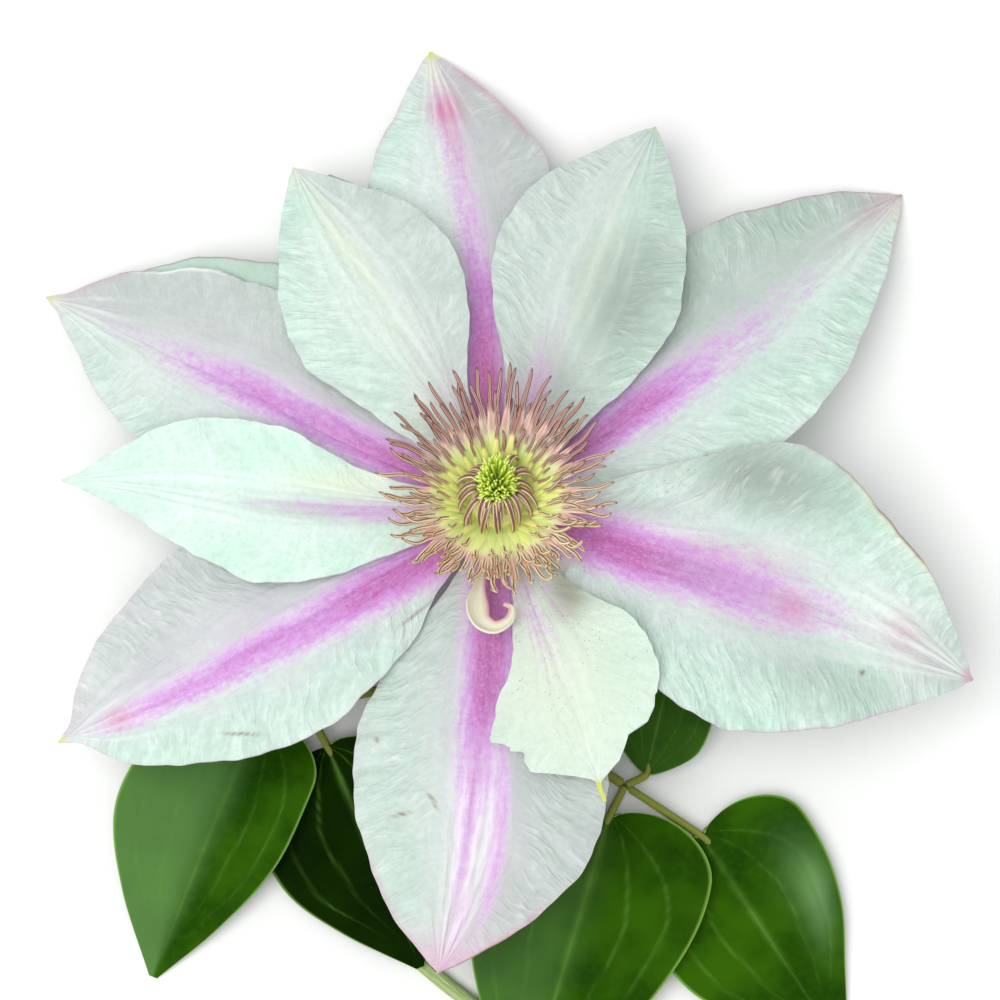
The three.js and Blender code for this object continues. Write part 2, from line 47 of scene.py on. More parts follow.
MM = 0.001
BODY = "root"
GOLDEN_ANGLE = math.pi * (3 - math.sqrt(5))
GOLDEN_SHARE = (math.sqrt(5) - 1) / 2
END_SHARE = 0.0005
WELD = 0.002
VEIN_SLANT = 0.55
PATTERN_SHIFT = 37
FINE = "_fine"
SHARP_ANGLE = 50
Socket = bpy.types.NodeSocket
Value = Union[float, Sequence[float], Socket]
Widths = tuple[float, ...]
Pair = tuple[float, float]
Array = np.ndarray
Piece = bpy.types.Object
Point = tuple[float, float, float]
Rgb = tuple[int, int, int]


class Slot(Enum):
    """The material slots."""

    SEPAL_WHITE = "sepal_white"
    SEPAL_STRIPED = "sepal_striped"
    STAMEN = "stamen"
    PISTIL = "pistil"
    PETALOID = "petaloid"
    STEM = "stem"
    LEAF = "leaf"


def linear(color: Rgb) -> tuple[float, ...]:
    """Turns a screen colour, in parts from 0 to 255, into the shader's linear colour with full alpha.

    Args:
        color: the screen colour.

    Returns:
        The shader's colour.
    """
    shares = [part / 255 for part in color]
    light = [share / 12.92 if share <= 0.04045 else ((share + 0.055) / 1.055) ** 2.4 for share in shares]
    return (*light, 1.0)


def smooth_at(values: Sequence[float], share: Array) -> Array:
    """Reads a smooth curve through evenly spaced values.

    Args:
        values: the values, from the base to the tip.
        share: places along the curve, from 0 to 1.

    Returns:
        The curve's value at each place.
    """
    row = np.asarray(values, dtype=float)
    knots = np.concatenate(([2 * row[0] - row[1]], row, [2 * row[-1] - row[-2]]))
    spans = len(row) - 1
    place = np.clip(share, 0, 1) * spans
    index = np.minimum(place.astype(int), spans - 1)
    t = place - index
    before, start, end, after = (knots[index + step] for step in range(4))
    square = 2 * before - 5 * start + 4 * end - after
    cube = 3 * start - before - 3 * end + after
    return start + 0.5 * t * (end - before + t * (square + t * cube))


def curve(route: Sequence[Point], share: Array) -> Array:
    """Reads a smooth curve through evenly spaced points."""
    return np.stack([smooth_at(axis, share) for axis in zip(*route)], axis=-1)


def course(route: Sequence[Point], share: Array, step: float) -> Array:
    """How far such a curve moves on between a step before and a step after each place."""
    return curve(route, np.clip(share + step, 0, 1)) - curve(route, np.clip(share - step, 0, 1))


def soft_step(low: float, high: float, value: Array) -> Array:
    """Rises smoothly from 0 at low to 1 at high."""
    share = np.clip((value - low) / (high - low), 0, 1)
    return share * share * (3 - 2 * share)


def hump(value: Array, middle: float, spread: float) -> Array:
    """A soft bump of height 1 round a middle value."""
    return np.exp(-(((value - middle) / spread) ** 2))


def halves(pair: Pair, across: Array) -> Array:
    """Blends softly from a blade's left half, where across is positive, to its right half."""
    return pair[1] + (pair[0] - pair[1]) * soft_step(-0.3, 0.3, across)


def unit(vectors: Array) -> Array:
    """Brings vectors to length 1."""
    return vectors / np.linalg.norm(vectors, axis=-1)[..., None]


def around(radius: Value, turn: Value, height: Value) -> Array:
    """Points at radii, angles and heights round an axis."""
    return np.stack([radius * np.cos(turn), radius * np.sin(turn), height], axis=-1)


def sideways(turn: float) -> Array:
    """The level direction that runs round an axis at an angle."""
    return np.array([-math.sin(turn), math.cos(turn), 0.0])


@dataclass(frozen=True)
class FlowerPlace:
    """Where the flower's own axes lie: p to the right, q up the picture, w along its axis."""

    tilt: float = math.radians(8)
    height: float = 22.0
    right: float = 0.1
    back: float = 6.9

    def to_row(self, points: Array) -> Array:
        """Turns points of the flower's axes, in mm, into the row's frame, in mm.

        Args:
            points: p, q and w of each point.

        Returns:
            x, y and z of each point.
        """
        p, q, w = points[..., 0], points[..., 1], points[..., 2]
        cos, sin = math.cos(self.tilt), math.sin(self.tilt)
        x, y = p + self.right, q * cos + w * sin + self.back
        return np.stack([x, y, self.height + w * cos - q * sin], axis=-1)

    def ground(self, points: Array) -> Array:
        """Moves points that are measured on the surface from the flower's middle to the row's frame."""
        return points + np.array([self.right, self.back, 0.0])


PLACE = FlowerPlace()


def select(*pieces: Piece) -> None:
    """Selects only the given pieces and makes the first one active.

    Args:
        pieces: the objects.
    """
    bpy.ops.object.select_all(action="DESELECT")
    for piece in pieces:
        piece.select_set(True)
        bpy.context.view_layer.objects.active = pieces[0]


class Sheet:
    """A grid primitive that is laid out as a blade or rolled up as a tube, with its markings.

    Attributes:
        piece: the object.
        across, along: each vertex's place, from -1 to 1 and from 0 to 1.
        turn: its angle round a tube, in radians.
    """

    def __init__(self, name: str, columns: int, rows: int) -> None:
        """Adds the grid with so many faces across and along.

        Args:
            name: the object's name.
            columns: faces across.
            rows: faces along.
        """
        select()
        bpy.ops.mesh.primitive_grid_add(x_subdivisions=columns, y_subdivisions=rows, size=2, calc_uvs=False)
        self.piece = bpy.context.object
        self.piece.name = self.piece.data.name = name
        flat = np.empty(len(self.piece.data.vertices) * 3)
        self.piece.data.vertices.foreach_get("co", flat)
        self.across = flat[0::3].copy()
        self.along = (flat[1::3] + 1) / 2
        self.turn = math.pi * self.across

    def copy(self) -> "Sheet":
        """Gives a second sheet with its own mesh.

        Returns:
            The second sheet.
        """
        twin = copy(self)
        twin.piece = self.piece.copy()
        twin.piece.data = self.piece.data.copy()
        bpy.context.collection.objects.link(twin.piece)
        return twin

    def lay(self, points: Array) -> None:
        """Puts the vertices at points of the row's frame, in mm."""
        self.piece.data.vertices.foreach_set("co", (points * MM).ravel())
        self.piece.data.update()

    def closed(self, values: Array) -> Array:
        """Draws a tube's radii in to 0 at both ends."""
        return np.where((self.along < END_SHARE) | (self.along > 1 - END_SHARE), 0.0, values)

    def chart(self, name: str, across: Array, along: Array) -> None:
        """Gives the sheet a UV map whose coordinates are the given values.

        Args:
            name: the map's name.
            across: the first coordinate of each vertex.
            along: the second coordinate of each vertex.
        """
        mesh = self.piece.data
        layer = mesh.uv_layers.new(name=name)
        corner = np.empty(len(mesh.loops), dtype=np.int32)
        mesh.loops.foreach_get("vertex_index", corner)
        layer.data.foreach_set("uv", np.stack([across[corner], along[corner]], axis=-1).ravel())

    def mark(self, **marks: Union[float, Array]) -> None:
        """Stores named values per vertex for the materials to read.

        Args:
            marks: one value, or one for each vertex, by their names.
        """
        for name, values in marks.items():
            layer = self.piece.data.attributes.new(name=name, type="FLOAT", domain="POINT")
            layer.data.foreach_set("value", np.full(len(self.along), values, dtype=np.float32))

    def thicken(self, thickness: float) -> None:
        """Gives the sheet its thickness, in mm, half of it on each side.

        Args:
            thickness: the wall's thickness.
        """
        select(self.piece)
        wall = self.piece.modifiers.new("wall", "SOLIDIFY")
        wall.thickness = thickness * MM
        wall.offset = 0
        bpy.ops.object.modifier_apply(modifier=wall.name)


def shaded(sharp: float = SHARP_ANGLE) -> Piece:
    """Shades the selected piece smooth, apart from edges sharper than an angle in degrees, and gives it."""
    bpy.ops.object.shade_smooth_by_angle(angle=math.radians(sharp))
    return bpy.context.object


def fuse(name: str, sheets: Sequence[Sheet], sharp: float = SHARP_ANGLE) -> Piece:
    """Joins sheets into one piece, closes their seams and ends, and turns their faces outwards.

    Args:
        name: the node that the piece stands for.
        sheets: the sheets.
        sharp: the angle in degrees from which its edges stay sharp.

    Returns:
        The piece.
    """
    select(*[sheet.piece for sheet in sheets])
    bpy.ops.object.join()
    whole = bpy.context.object
    whole.name = whole.data.name = name + FINE
    bpy.ops.object.mode_set(mode="EDIT")
    bpy.ops.mesh.select_all(action="SELECT")
    bpy.ops.mesh.remove_doubles(threshold=WELD * MM)
    bpy.ops.mesh.normals_make_consistent(inside=False)
    bpy.ops.object.mode_set(mode="OBJECT")
    return shaded(sharp)


def hand_over(piece: Piece, node: str, slot: Slot, material: bpy.types.Material) -> None:
    """Dresses a piece and lets it stand for a node.

    Args:
        piece: the finished piece.
        node: the CAD node that it replaces.
        slot: the slot of its finish; not used.
        material: its material.
    """
    piece.data.materials.clear()
    piece.data.materials.append(material)
    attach(piece, BODY)
    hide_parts(node)
    triangles = sum(len(face.vertices) - 2 for face in piece.data.polygons)
    log.info("%s: %d triangles", piece.name, triangles)


class Board:
    """Places and links the nodes of one shader tree."""

    def __init__(self, tree: bpy.types.NodeTree) -> None:
        """Takes the tree that the nodes go into."""
        self.tree = tree

    def give(self, socket: Socket, value: Value) -> None:
        """Links a socket to another one, or sets its value; three parts for a colour are a screen colour.

        Args:
            socket: the input.
            value: what it takes.
        """
        if isinstance(value, Socket):
            self.tree.links.new(value, socket)
        elif socket.type == "RGBA" and len(value) == 3:
            socket.default_value = linear(value)
        else:
            socket.default_value = value

    def add(self, kind: str, inputs: Optional[dict] = None, **settings: object) -> bpy.types.Node:
        """Adds a node.

        Args:
            kind: the node's type.
            inputs: values or sockets for its inputs, by name or number.
            settings: its properties.

        Returns:
            The node.
        """
        node = self.tree.nodes.new(kind)
        for name, value in settings.items():
            setattr(node, name, value)
        for name, value in (inputs or {}).items():
            self.give(node.inputs[name], value)
        return node

    def math(self, operation: str, *values: Value) -> Socket:
        """Works out a number from up to three others."""
        return self.add("ShaderNodeMath", dict(enumerate(values)), operation=operation).outputs[0]

    def times(self, *values: Value) -> Socket:
        """Multiplies numbers.

        Args:
            values: the numbers or sockets.

        Returns:
            Their product.
        """
        product = values[0]
        for value in values[1:]:
            product = self.math("MULTIPLY", product, value)
        return product

    def plus(self, value: Value, factor: Value, start: Value) -> Socket:
        """Adds a number, taken so many times, to a start."""
        return self.math("MULTIPLY_ADD", value, factor, start)

    def inverse(self, share: Value) -> Socket:
        """Takes a share from 1."""
        return self.math("SUBTRACT", 1, share)

    def remap(self, value: Value, low: float, high: float, start: float = 0, end: float = 1) -> Socket:
        """Turns the range low to high smoothly into start to end."""
        inputs = {"Value": value, "From Min": low, "From Max": high, "To Min": start, "To Max": end}
        return self.add("ShaderNodeMapRange", inputs, interpolation_type="SMOOTHSTEP").outputs["Result"]

    def mix(self, share: Value, first: Value, second: Value) -> Socket:
        """Mixes two colours."""
        return self.add("ShaderNodeMix", {0: share, 6: first, 7: second}, data_type="RGBA").outputs[2]

    def coat(self, color: Value, *coats: tuple[Value, Value]) -> Socket:
        """Lays coats over a colour in turn, each given by the share that it covers and its colour.

        Args:
            color: the ground colour.
            coats: the coats, the lowest first.

        Returns:
            The colour on top.
        """
        for share, tint in coats:
            color = self.mix(share, color, tint)
        return color

    def spread(self, vector: Socket, scale: Value, shift: Point = (0, 0, 0)) -> Socket:
        """Stretches and moves a pattern's coordinates."""
        scale = scale if isinstance(scale, tuple) else (scale,) * 3
        return self.add("ShaderNodeMapping", {"Vector": vector, "Location": shift, "Scale": scale}).outputs[0]

    def noise(
        self, vector: Socket, scale: Value = 1, detail: float = 2, rough: float = 0.5,
        bend: float = 0, shift: Point = (0, 0, 0),
    ) -> Socket:
        """Cloudy noise over stretched and moved coordinates, with cells of size 1.

        Args:
            vector: the coordinates.
            scale: how often the pattern repeats, in all or along each axis.
            detail: how many finer layers it has.
            rough: how strong these are.
            bend: how far it is distorted.
            shift: how far it is moved.

        Returns:
            Values about 0.5.
        """
        vector = self.spread(vector, scale, shift)
        inputs = {"Vector": vector, "Scale": 1, "Detail": detail, "Roughness": rough, "Distortion": bend}
        return self.add("ShaderNodeTexNoise", inputs).outputs[0]

    def bump(self, height: Socket, strength: float, depth: float) -> Socket:
        """Roughens the surface by a pattern, to a depth in mm."""
        inputs = {"Height": height, "Strength": strength, "Distance": depth * MM}
        return self.add("ShaderNodeBump", inputs).outputs[0]

    def mark(self, name: str) -> Socket:
        """Reads a value that is stored per vertex."""
        return self.add("ShaderNodeAttribute", attribute_name=name, attribute_type="GEOMETRY").outputs["Fac"]

    def chart(self, name: str) -> Socket:
        """Reads a UV map."""
        return self.add("ShaderNodeUVMap", uv_map=name).outputs[0]

    def split(self, vector: Socket) -> Sequence[Socket]:
        """Splits a vector into its first and its second part."""
        return self.add("ShaderNodeSeparateXYZ", {0: vector}).outputs[:2]

    def vector(self, *parts: Value) -> Socket:
        """Puts numbers together as a vector."""
        return self.add("ShaderNodeCombineXYZ", dict(enumerate(parts))).outputs[0]

    def place(self) -> Socket:
        """Object coordinates in mm."""
        return self.spread(self.add("ShaderNodeTexCoord").outputs["Object"], 1 / MM)


class Effect:
    """A pattern that several finishes use, kept as one node group."""

    def __init__(self, name: str, inputs: Sequence[str], outputs: Sequence[str]) -> None:
        """Makes the group.

        Args:
            name: the group's name.
            inputs: its inputs, of which only a chart is a vector.
            outputs: its results, which are all numbers.
        """
        self.tree = bpy.data.node_groups.new(name, "ShaderNodeTree")
        for way, labels in (("INPUT", inputs), ("OUTPUT", outputs)):
            for label in labels:
                kind = "NodeSocketVector" if label == "Chart" else "NodeSocketFloat"
                self.tree.interface.new_socket(name=label, in_out=way, socket_type=kind)
        self.board = Board(self.tree)
        self.source = self.board.add("NodeGroupInput").outputs

    def giving(self, *results: Socket) -> "Effect":
        """Links the results to the outputs in their order, and gives the effect."""
        self.board.add("NodeGroupOutput", dict(enumerate(results)))
        return self

    def use(self, board: Board, *values: Value) -> Sequence[Socket]:
        """Places the group in another tree and gives its outputs."""
        return board.add("ShaderNodeGroup", dict(enumerate(values)), node_tree=self.tree).outputs


def streak_effect() -> Effect:
    """Fine streaks along the veins, grains and folds, from a chart that runs across the veins first.

    Returns:
        The node group.
    """
    effect = Effect("vein streaks", ["Chart"], ["Streaks", "Grains", "Folds"])
    board, chart = effect.board, effect.source[0]
    coarse = board.noise(chart, (8, 0.07, 1), 2, 0.6)
    fine = board.noise(chart, (26, 0.22, 1), 1, 0.6)
    streaks = board.remap(board.plus(fine, 0.45, board.times(coarse, 0.55)), 0.32, 0.68)
    grains = board.noise(chart, (42, 1.1, 1), 1.5, 0.7)
    folds = board.noise(chart, (7, 0.085, 1), 2.5, bend=0.5, shift=(4, 4, 0))
    return effect.giving(streaks, board.remap(grains, 0.3, 0.7), board.remap(folds, 0.3, 0.7))


def ripple_effect() -> Effect:
    """Small ripples that fan out from the midrib, raised strokes and hatching, from a chart in mm.

    Returns:
        The node group.
    """
    effect = Effect("margin ripples", ["Chart", "Slant"], ["Ripples", "Lines", "Hatch"])
    board, chart = effect.board, effect.source[0]
    across, ahead = board.split(chart)
    climb = board.math("SUBTRACT", ahead, board.times(board.math("ABSOLUTE", across), effect.source[1]))
    climb = board.plus(board.noise(chart, (0.1, 0.1, 0), 0), 7, climb)
    outward = board.times(across, 0.16)
    broad = board.noise(board.vector(outward, board.times(climb, 0.36)), bend=0.6)
    stroke = board.vector(board.times(across, 0.3), board.times(climb, 0.9), 7)
    small = board.noise(stroke, detail=1.5, bend=0.5)
    hatch = board.noise(board.vector(outward, board.times(climb, 1.8), 3), detail=1, rough=0.6)
    where = board.noise(chart, (0.13, 0.09, 0), shift=(3, 5, 0))
    lines = board.times(board.remap(small, 0.48, 0.76), board.remap(where, 0.4, 0.62, 0.15, 1))
    ripples = board.remap(board.plus(small, 0.5, broad), 0.5, 1)
    return effect.giving(ripples, lines, board.remap(hatch, 0.35, 0.65))


def speck_effect() -> Effect:
    """Tiny scattered dots, thick in some places and missing in others, from a chart in mm.

    Returns:
        The node group.
    """
    effect = Effect("specks", ["Chart"], ["Dots"])
    board, chart = effect.board, effect.source[0]
    cells = board.add("ShaderNodeTexVoronoi", {"Vector": chart, "Scale": 1.3, "Randomness": 1.0}).outputs[0]
    where = board.noise(chart, (0.2, 0.2, 0), 1, shift=(9, 2, 0))
    return effect.giving(board.times(board.remap(cells, 0.1, 0.19, 0.9, 0), board.remap(where, 0.45, 0.57)))


@dataclass(frozen=True)
class Effects:
    """The node groups, each built once."""

    streaks: Effect = field(default_factory=streak_effect)
    ripples: Effect = field(default_factory=ripple_effect)
    specks: Effect = field(default_factory=speck_effect)


@dataclass(frozen=True)
class Finish:
    """A material round one main shader, whose inputs each kind of finish works out."""

    name: str

    def material(self, effects: Effects) -> bpy.types.Material:
        """Builds the material.

        Args:
            effects: the shared node groups.

        Returns:
            The material.
        """
        material = bpy.data.materials.new(self.name)
        material.use_nodes = True
        material.node_tree.nodes.clear()
        board = Board(material.node_tree)
        shader = board.add("ShaderNodeBsdfPrincipled", self.paint(board, effects))
        board.add("ShaderNodeOutputMaterial", {"Surface": shader.outputs["BSDF"]})
        return material

    def paint(self, board: Board, effects: Effects) -> dict[str, Value]:
        """Works out the main shader's inputs."""
        raise NotImplementedError


@dataclass(frozen=True)
class SepalFinish(Finish):
    """Soft satin sepal: mint white, with streaky bars, a veined net and tinted margins."""

    white: Rgb = (231, 235, 232)
    mint: Rgb = (208, 241, 224)
    mauve: Rgb = (206, 194, 210)
    # the grey of painted shade, laid where the light falls less
    shade: Rgb = (150, 165, 153)
    # the pale of the pleats and flecks, also the painted highlight on ripple crests and on the curled
    # margin's edge
    crest: Rgb = (242, 247, 242)
    veil: Rgb = (196, 182, 200)
    lilac: Rgb = (214, 184, 220)
    bar: Rgb = (202, 136, 210)
    deep: Rgb = (186, 94, 170)
    rose: Rgb = (200, 108, 154)
    margin: Rgb = (216, 170, 200)
    cream: Rgb = (226, 230, 198)
    tip: Rgb = (206, 216, 96)
    dry: Rgb = (126, 88, 58)
    roughness: float = 0.47

    def paint(self, board: Board, effects: Effects) -> dict[str, Value]:
        """Lays the painted shade and highlights of the relief and of the darker halves, the bars, the small
        patches and the margins over the white and mint.

        Args:
            board: the material's nodes.
            effects: the shared node groups.

        Returns:
            The inputs by their names.
        """
        mark, times, plus, remap, inverse = board.mark, board.times, board.plus, board.remap, board.inverse
        veins, span = board.chart("veins"), board.chart("span")
        streaks, grains, folds = effects.streaks.use(board, veins)[:3]
        ripples, lines, hatch = effects.ripples.use(board, span, VEIN_SLANT)[:3]
        clouds, grit = board.noise(board.place(), 0.07), board.noise(board.place(), 0.9, 3, 0.65)
        cloudy = remap(clouds, 0.3, 0.7, 0.6, 1.15)
        stripe = mark("stripe")
        plain = remap(stripe, 0.1, 0.9, 1, 0.3)
        side = remap(board.math("ABSOLUTE", board.split(veins)[0]), 0.22, 0.6)
        lively = inverse(times(mark("calm"), 0.8))
        central = times(inverse(side), lively)
        lively = times(lively, plain, side)
        hatched = times(mark("hatch"), plain)
        uneven = stripe
        for pattern, amount in ((streaks, 0.22), (grains, 0.24), (grit, 0.9), (clouds, 0.5)):
            uneven = plus(board.math("SUBTRACT", pattern, 0.5), amount, uneven)
        alive = remap(stripe, 0.02, 0.25)
        color = board.coat(
            self.white,
            (times(mark("mint"), cloudy), self.mint),
            (times(mark("mauve"), cloudy), self.mauve),
            # painted shade: each half's and each patch's darkening, mottled by clouds
            (plus(remap(clouds, 0.35, 0.7), 0.08, mark("shade")), self.shade),
            # painted shade in the valleys of the folds
            (times(inverse(folds), 0.17, central), self.shade),
            (remap(grit, 0.35, 0.7, 0, 0.2), self.shade),
            # painted shade in the ripple furrows
            (times(inverse(ripples), 0.3, lively), self.shade),
            # painted shade in the fine hatch wrinkles
            (times(inverse(hatch), hatched, 0.11), self.shade),
            # painted highlight on the ripple crests
            (times(lines, 0.34, lively), self.crest),
            (mark("cream"), self.cream),
            (times(mark("halo"), remap(streaks, 0, 1, 0.4, 1), 0.7), self.veil),
            (times(remap(uneven, 0.08, 0.62), alive, 0.8), self.lilac),
            (times(remap(uneven, 0.3, 0.95), alive, 0.96), self.bar),
            (remap(uneven, 0.8, 1.4), self.deep),
            (times(mark("rose"), remap(grains, 0, 1, 0.75, 1)), self.rose),
            (times(remap(grains, 0.5, 1, 0, 0.16), remap(stripe, 0.1, 0.5)), self.crest),
            # painted shade laid over the bars as well
            (times(mark("shade"), 0.3), self.shade),
            # pale pleats, and the painted highlight along the curled margin's edge
            (times(mark("pleat"), remap(streaks, 0, 1, 0.25, 0.75)), self.crest),
            (times(mark("blush"), remap(streaks, 0, 1, 0.5, 1)), self.margin),
            (mark("tip"), self.tip),
            (times(effects.specks.use(board, span)[0], mark("specks")), self.dry),
            (mark("dry"), self.dry),
        )
        relief = times(plus(lines, 0.45, ripples), lively)
        relief = plus(times(hatch, hatched), 0.16, relief)
        relief = plus(times(folds, central), 1, relief)
        return {
            "Base Color": color, "Roughness": plus(ripples, 0.1, self.roughness),
            "Normal": board.bump(relief, 0.6, 0.35), "Specular IOR Level": 0.35, "Sheen Weight": 0.12,
        }


@dataclass(frozen=True)
class StamenFinish(Finish):
    """Flat filaments from lime to pink, and maroon anthers with cream edges."""

    name: str = "stamen finish"
    lime: Rgb = (238, 242, 142)
    cream: Rgb = (244, 232, 176)
    pink: Rgb = (232, 192, 184)
    flush: Rgb = (202, 140, 134)
    maroon: Rgb = (112, 66, 60)
    brown: Rgb = (94, 66, 52)
    rust: Rgb = (122, 82, 72)
    dusky: Rgb = (196, 154, 144)
    edge: Rgb = (246, 216, 188)
    dark: Rgb = (82, 62, 50)

    def paint(self, board: Board, effects: Effects) -> dict[str, Value]:
        """Colours the filaments by their ripeness and the anthers by their hue.

        Args:
            board: the material's nodes.
            effects: the shared node groups.

        Returns:
            The inputs by their names.
        """
        mix, coat, remap = board.mix, board.coat, board.remap
        chart = board.chart("strand")
        across, along = board.split(chart)
        out = board.math("ABSOLUTE", across)
        streaks = effects.streaks.use(board, board.spread(chart, (0.3, 40, 1)))[0]
        ripen, pollen = board.mark("ripen"), board.noise(board.place(), 2.6, 1)
        pale = mix(remap(ripen, 0, 0.55), self.lime, self.cream)
        flush = mix(remap(out, 0.1, 0.7), self.flush, self.pink)
        stalk = coat(pale, (remap(ripen, 0.4, 1), flush), (board.times(streaks, 0.3), self.cream))
        edge = mix(remap(pollen, 0.35, 0.7), self.edge, self.cream)
        from_line = board.math("SUBTRACT", out, board.mark("core"))
        lined = coat(self.maroon, (remap(from_line, -0.06, 0.12), edge), (remap(out, 0.91, 0.98), self.brown))
        sided = coat(self.rust, (remap(out, 0.05, 0.35), self.dusky), (remap(out, 0.5, 0.75), self.brown))
        anther = coat(lined, (board.mark("warm"), sided), (remap(along, 0.95, 0.99, 0, 0.8), self.dark))
        return {
            "Base Color": mix(board.mark("anther"), stalk, anther),
            "Roughness": remap(pollen, 0.2, 0.8, 0.4, 0.6),
            "Subsurface Weight": 0.3, "Subsurface Scale": MM,
        }


@dataclass(frozen=True)
class StyleFinish(Finish):
    """Lime green styles, darker at their roots, where painted shade stands for the shade between them, and
    pale at their tips.
    """

    name: str = "style finish"
    # painted shade: the darker green low among the styles
    root: Rgb = (146, 172, 34)
    shaft: Rgb = (192, 218, 66)
    tip: Rgb = (232, 244, 130)

    def paint(self, board: Board, effects: Effects) -> dict[str, Value]:
        """Brightens the styles towards their tips, with a fine fuzz.

        Args:
            board: the material's nodes.
            effects: the shared node groups.

        Returns:
            The inputs by their names.
        """
        along = board.split(board.chart("strand"))[1]
        fuzz = board.noise(board.place(), 3)
        color = board.coat(
            self.root,
            (board.remap(along, 0.1, 0.75), self.shaft),
            (board.remap(along, 0.72, 1), self.tip),
            (board.remap(fuzz, 0.35, 0.7, 0, 0.4), self.tip),
        )
        return {
            "Base Color": color, "Roughness": board.remap(fuzz, 0.2, 0.8, 0.4, 0.6),
            "Subsurface Weight": 0.25, "Subsurface Scale": MM,
        }


@dataclass(frozen=True)
class PetaloidFinish(Finish):
    """Cream curl with a pink inner margin and faint veins."""

    name: str = "petaloid finish"
    cream: Rgb = (222, 222, 200)
    warm: Rgb = (208, 202, 168)
    pink: Rgb = (214, 162, 168)

    def paint(self, board: Board, effects: Effects) -> dict[str, Value]:
        """Streaks the cream and tints its left margin.

        Args:
            board: the material's nodes.
            effects: the shared node groups.

        Returns:
            The inputs by their names.
        """
        veins = board.chart("veins")
        streaks = effects.streaks.use(board, veins)[0]
        body = board.mix(board.times(streaks, 0.5), self.cream, self.warm)
        margin = board.remap(board.split(veins)[0], 0.45, 0.98, 0, 0.8)
        return {
            "Base Color": board.mix(margin, body, self.pink),
            "Roughness": board.remap(streaks, 0, 1, 0.42, 0.55), "Normal": board.bump(streaks, 0.4, 0.15),
        }


@dataclass(frozen=True)
class StemFinish(Finish):
    """Pale green stem with long streaks, browner at the node and the cut."""

    name: str = "stem finish"
    pale: Rgb = (176, 192, 132)
    green: Rgb = (122, 148, 78)
    brown: Rgb = (140, 104, 72)

    def paint(self, board: Board, effects: Effects) -> dict[str, Value]:
        """Streaks the green and browns the marked places.

        Args:
            board: the material's nodes.
            effects: the shared node groups.

        Returns:
            The inputs by their names.
        """
        streaks, grains = effects.streaks.use(board, board.chart("strand"))[:2]
        browned = board.times(board.mark("brown"), board.remap(grains, 0.2, 0.8, 0.5, 1))
        return {
            "Base Color": board.coat(self.pale, (streaks, self.green), (browned, self.brown)),
            "Roughness": board.remap(grains, 0, 1, 0.4, 0.58), "Normal": board.bump(streaks, 0.5, 0.2),
        }


@dataclass(frozen=True)
class LeafFinish(Finish):
    """Dark glossy leaf with paler veins, a fine net and a light rim."""

    name: str = "leaf finish"
    dark: Rgb = (26, 60, 5)
    green: Rgb = (50, 92, 8)
    shadow: Rgb = (5, 16, 1)
    # the green of the painted sheen and highlight, also the specular tint
    pale: Rgb = (104, 148, 84)
    vein: Rgb = (98, 142, 56)
    rim: Rgb = (140, 184, 84)
    stalk: Rgb = (128, 136, 62)

    def paint(self, board: Board, effects: Effects) -> dict[str, Value]:
        """Lays the painted shade, the painted sheen and highlight, the veins and the stalks over a cloudy
        green.

        Args:
            board: the material's nodes.
            effects: the shared node groups.

        Returns:
            The inputs by their names.
        """
        mark, times, plus, remap = board.mark, board.times, board.plus, board.remap
        clouds = board.noise(board.place(), 0.08, 3)
        grain = board.noise(board.chart("span"), (0.7, 0.7, 1))
        vein, gloss = mark("vein"), mark("gloss")
        color = board.coat(
            self.dark,
            (remap(clouds, 0.3, 0.72), self.green),
            (remap(grain, 0.35, 0.8, 0, 0.3), self.green),
            # painted shade: darkens leaflets that lie in shadow
            (mark("tone"), self.shadow),
            # painted sheen on a leaflet's halves, and painted highlight where it shines
            (plus(gloss, 0.7, mark("pale")), self.pale),
            (times(vein, remap(clouds, 0.35, 0.65, 0.2, 0.6)), self.vein),
            (mark("rim"), self.rim),
            (mark("stalk"), self.stalk),
        )
        relief = plus(vein, -0.5, times(grain, 0.3))
        return {
            "Base Color": color, "Roughness": remap(clouds, 0.3, 0.7, 0.42, 0.6),
            "Normal": board.bump(relief, 0.4, 0.3), "Coat Weight": times(gloss, 0.35), "Coat Roughness": 0.22,
            "Specular IOR Level": 0.05, "Specular Tint": self.pale,
        }


@dataclass(frozen=True)
class FloorFinish(Finish):
    """Pale paper with a very faint mottle."""

    name: str = "floor paper"
    pale: Rgb = (243, 243, 241)
    dimming: float = 0.97

    def paint(self, board: Board, effects: Effects) -> dict[str, Value]:
        """Mottles the paper.

        Args:
            board: the material's nodes.
            effects: the shared node groups.

        Returns:
            The inputs by their names.
        """
        mottle = board.noise(board.place(), 0.01, 3)
        dim = (*[self.dimming * part for part in linear(self.pale)[:3]], 1)
        return {
            "Base Color": board.mix(board.remap(mottle, 0.3, 0.7), self.pale, dim),
            "Roughness": board.remap(mottle, 0.2, 0.8, 0.75, 0.85),
        }


@dataclass(frozen=True)
class Stripe:
    """A bar along a sepal at even places: mm left of the midrib, half its width in mm, and its strength."""

    drift: Widths
    half_width: Widths
    strength: Widths

    def cover(self, along: Array, aside: Array, fullest: float, spread: float, power: float) -> Array:
        """Gives the bar's strength along and mm left of the midrib, at most so full, so wide and so firm.

        Args:
            along: places along, from 0 at the base to 1 at the tip.
            aside: mm left of the midrib.
            fullest: the most that it may cover.
            spread: how many times wider it is drawn.
            power: how firm its margin is.

        Returns:
            The strength at each place.
        """
        half = np.maximum(smooth_at(self.half_width, along), 0.3)
        full = np.clip(smooth_at(self.strength, along), 0, fullest)
        return full * np.exp(-np.abs((aside - smooth_at(self.drift, along)) / (spread * half)) ** power)


class Tint(Enum):
    """The marks on a sepal that a patch or an edge adds to."""

    ROSE = "rose"
    CREAM = "cream"
    SHADE = "shade"
    DRY = "dry"


ROSE, CREAM, SHADE, DRY = Tint


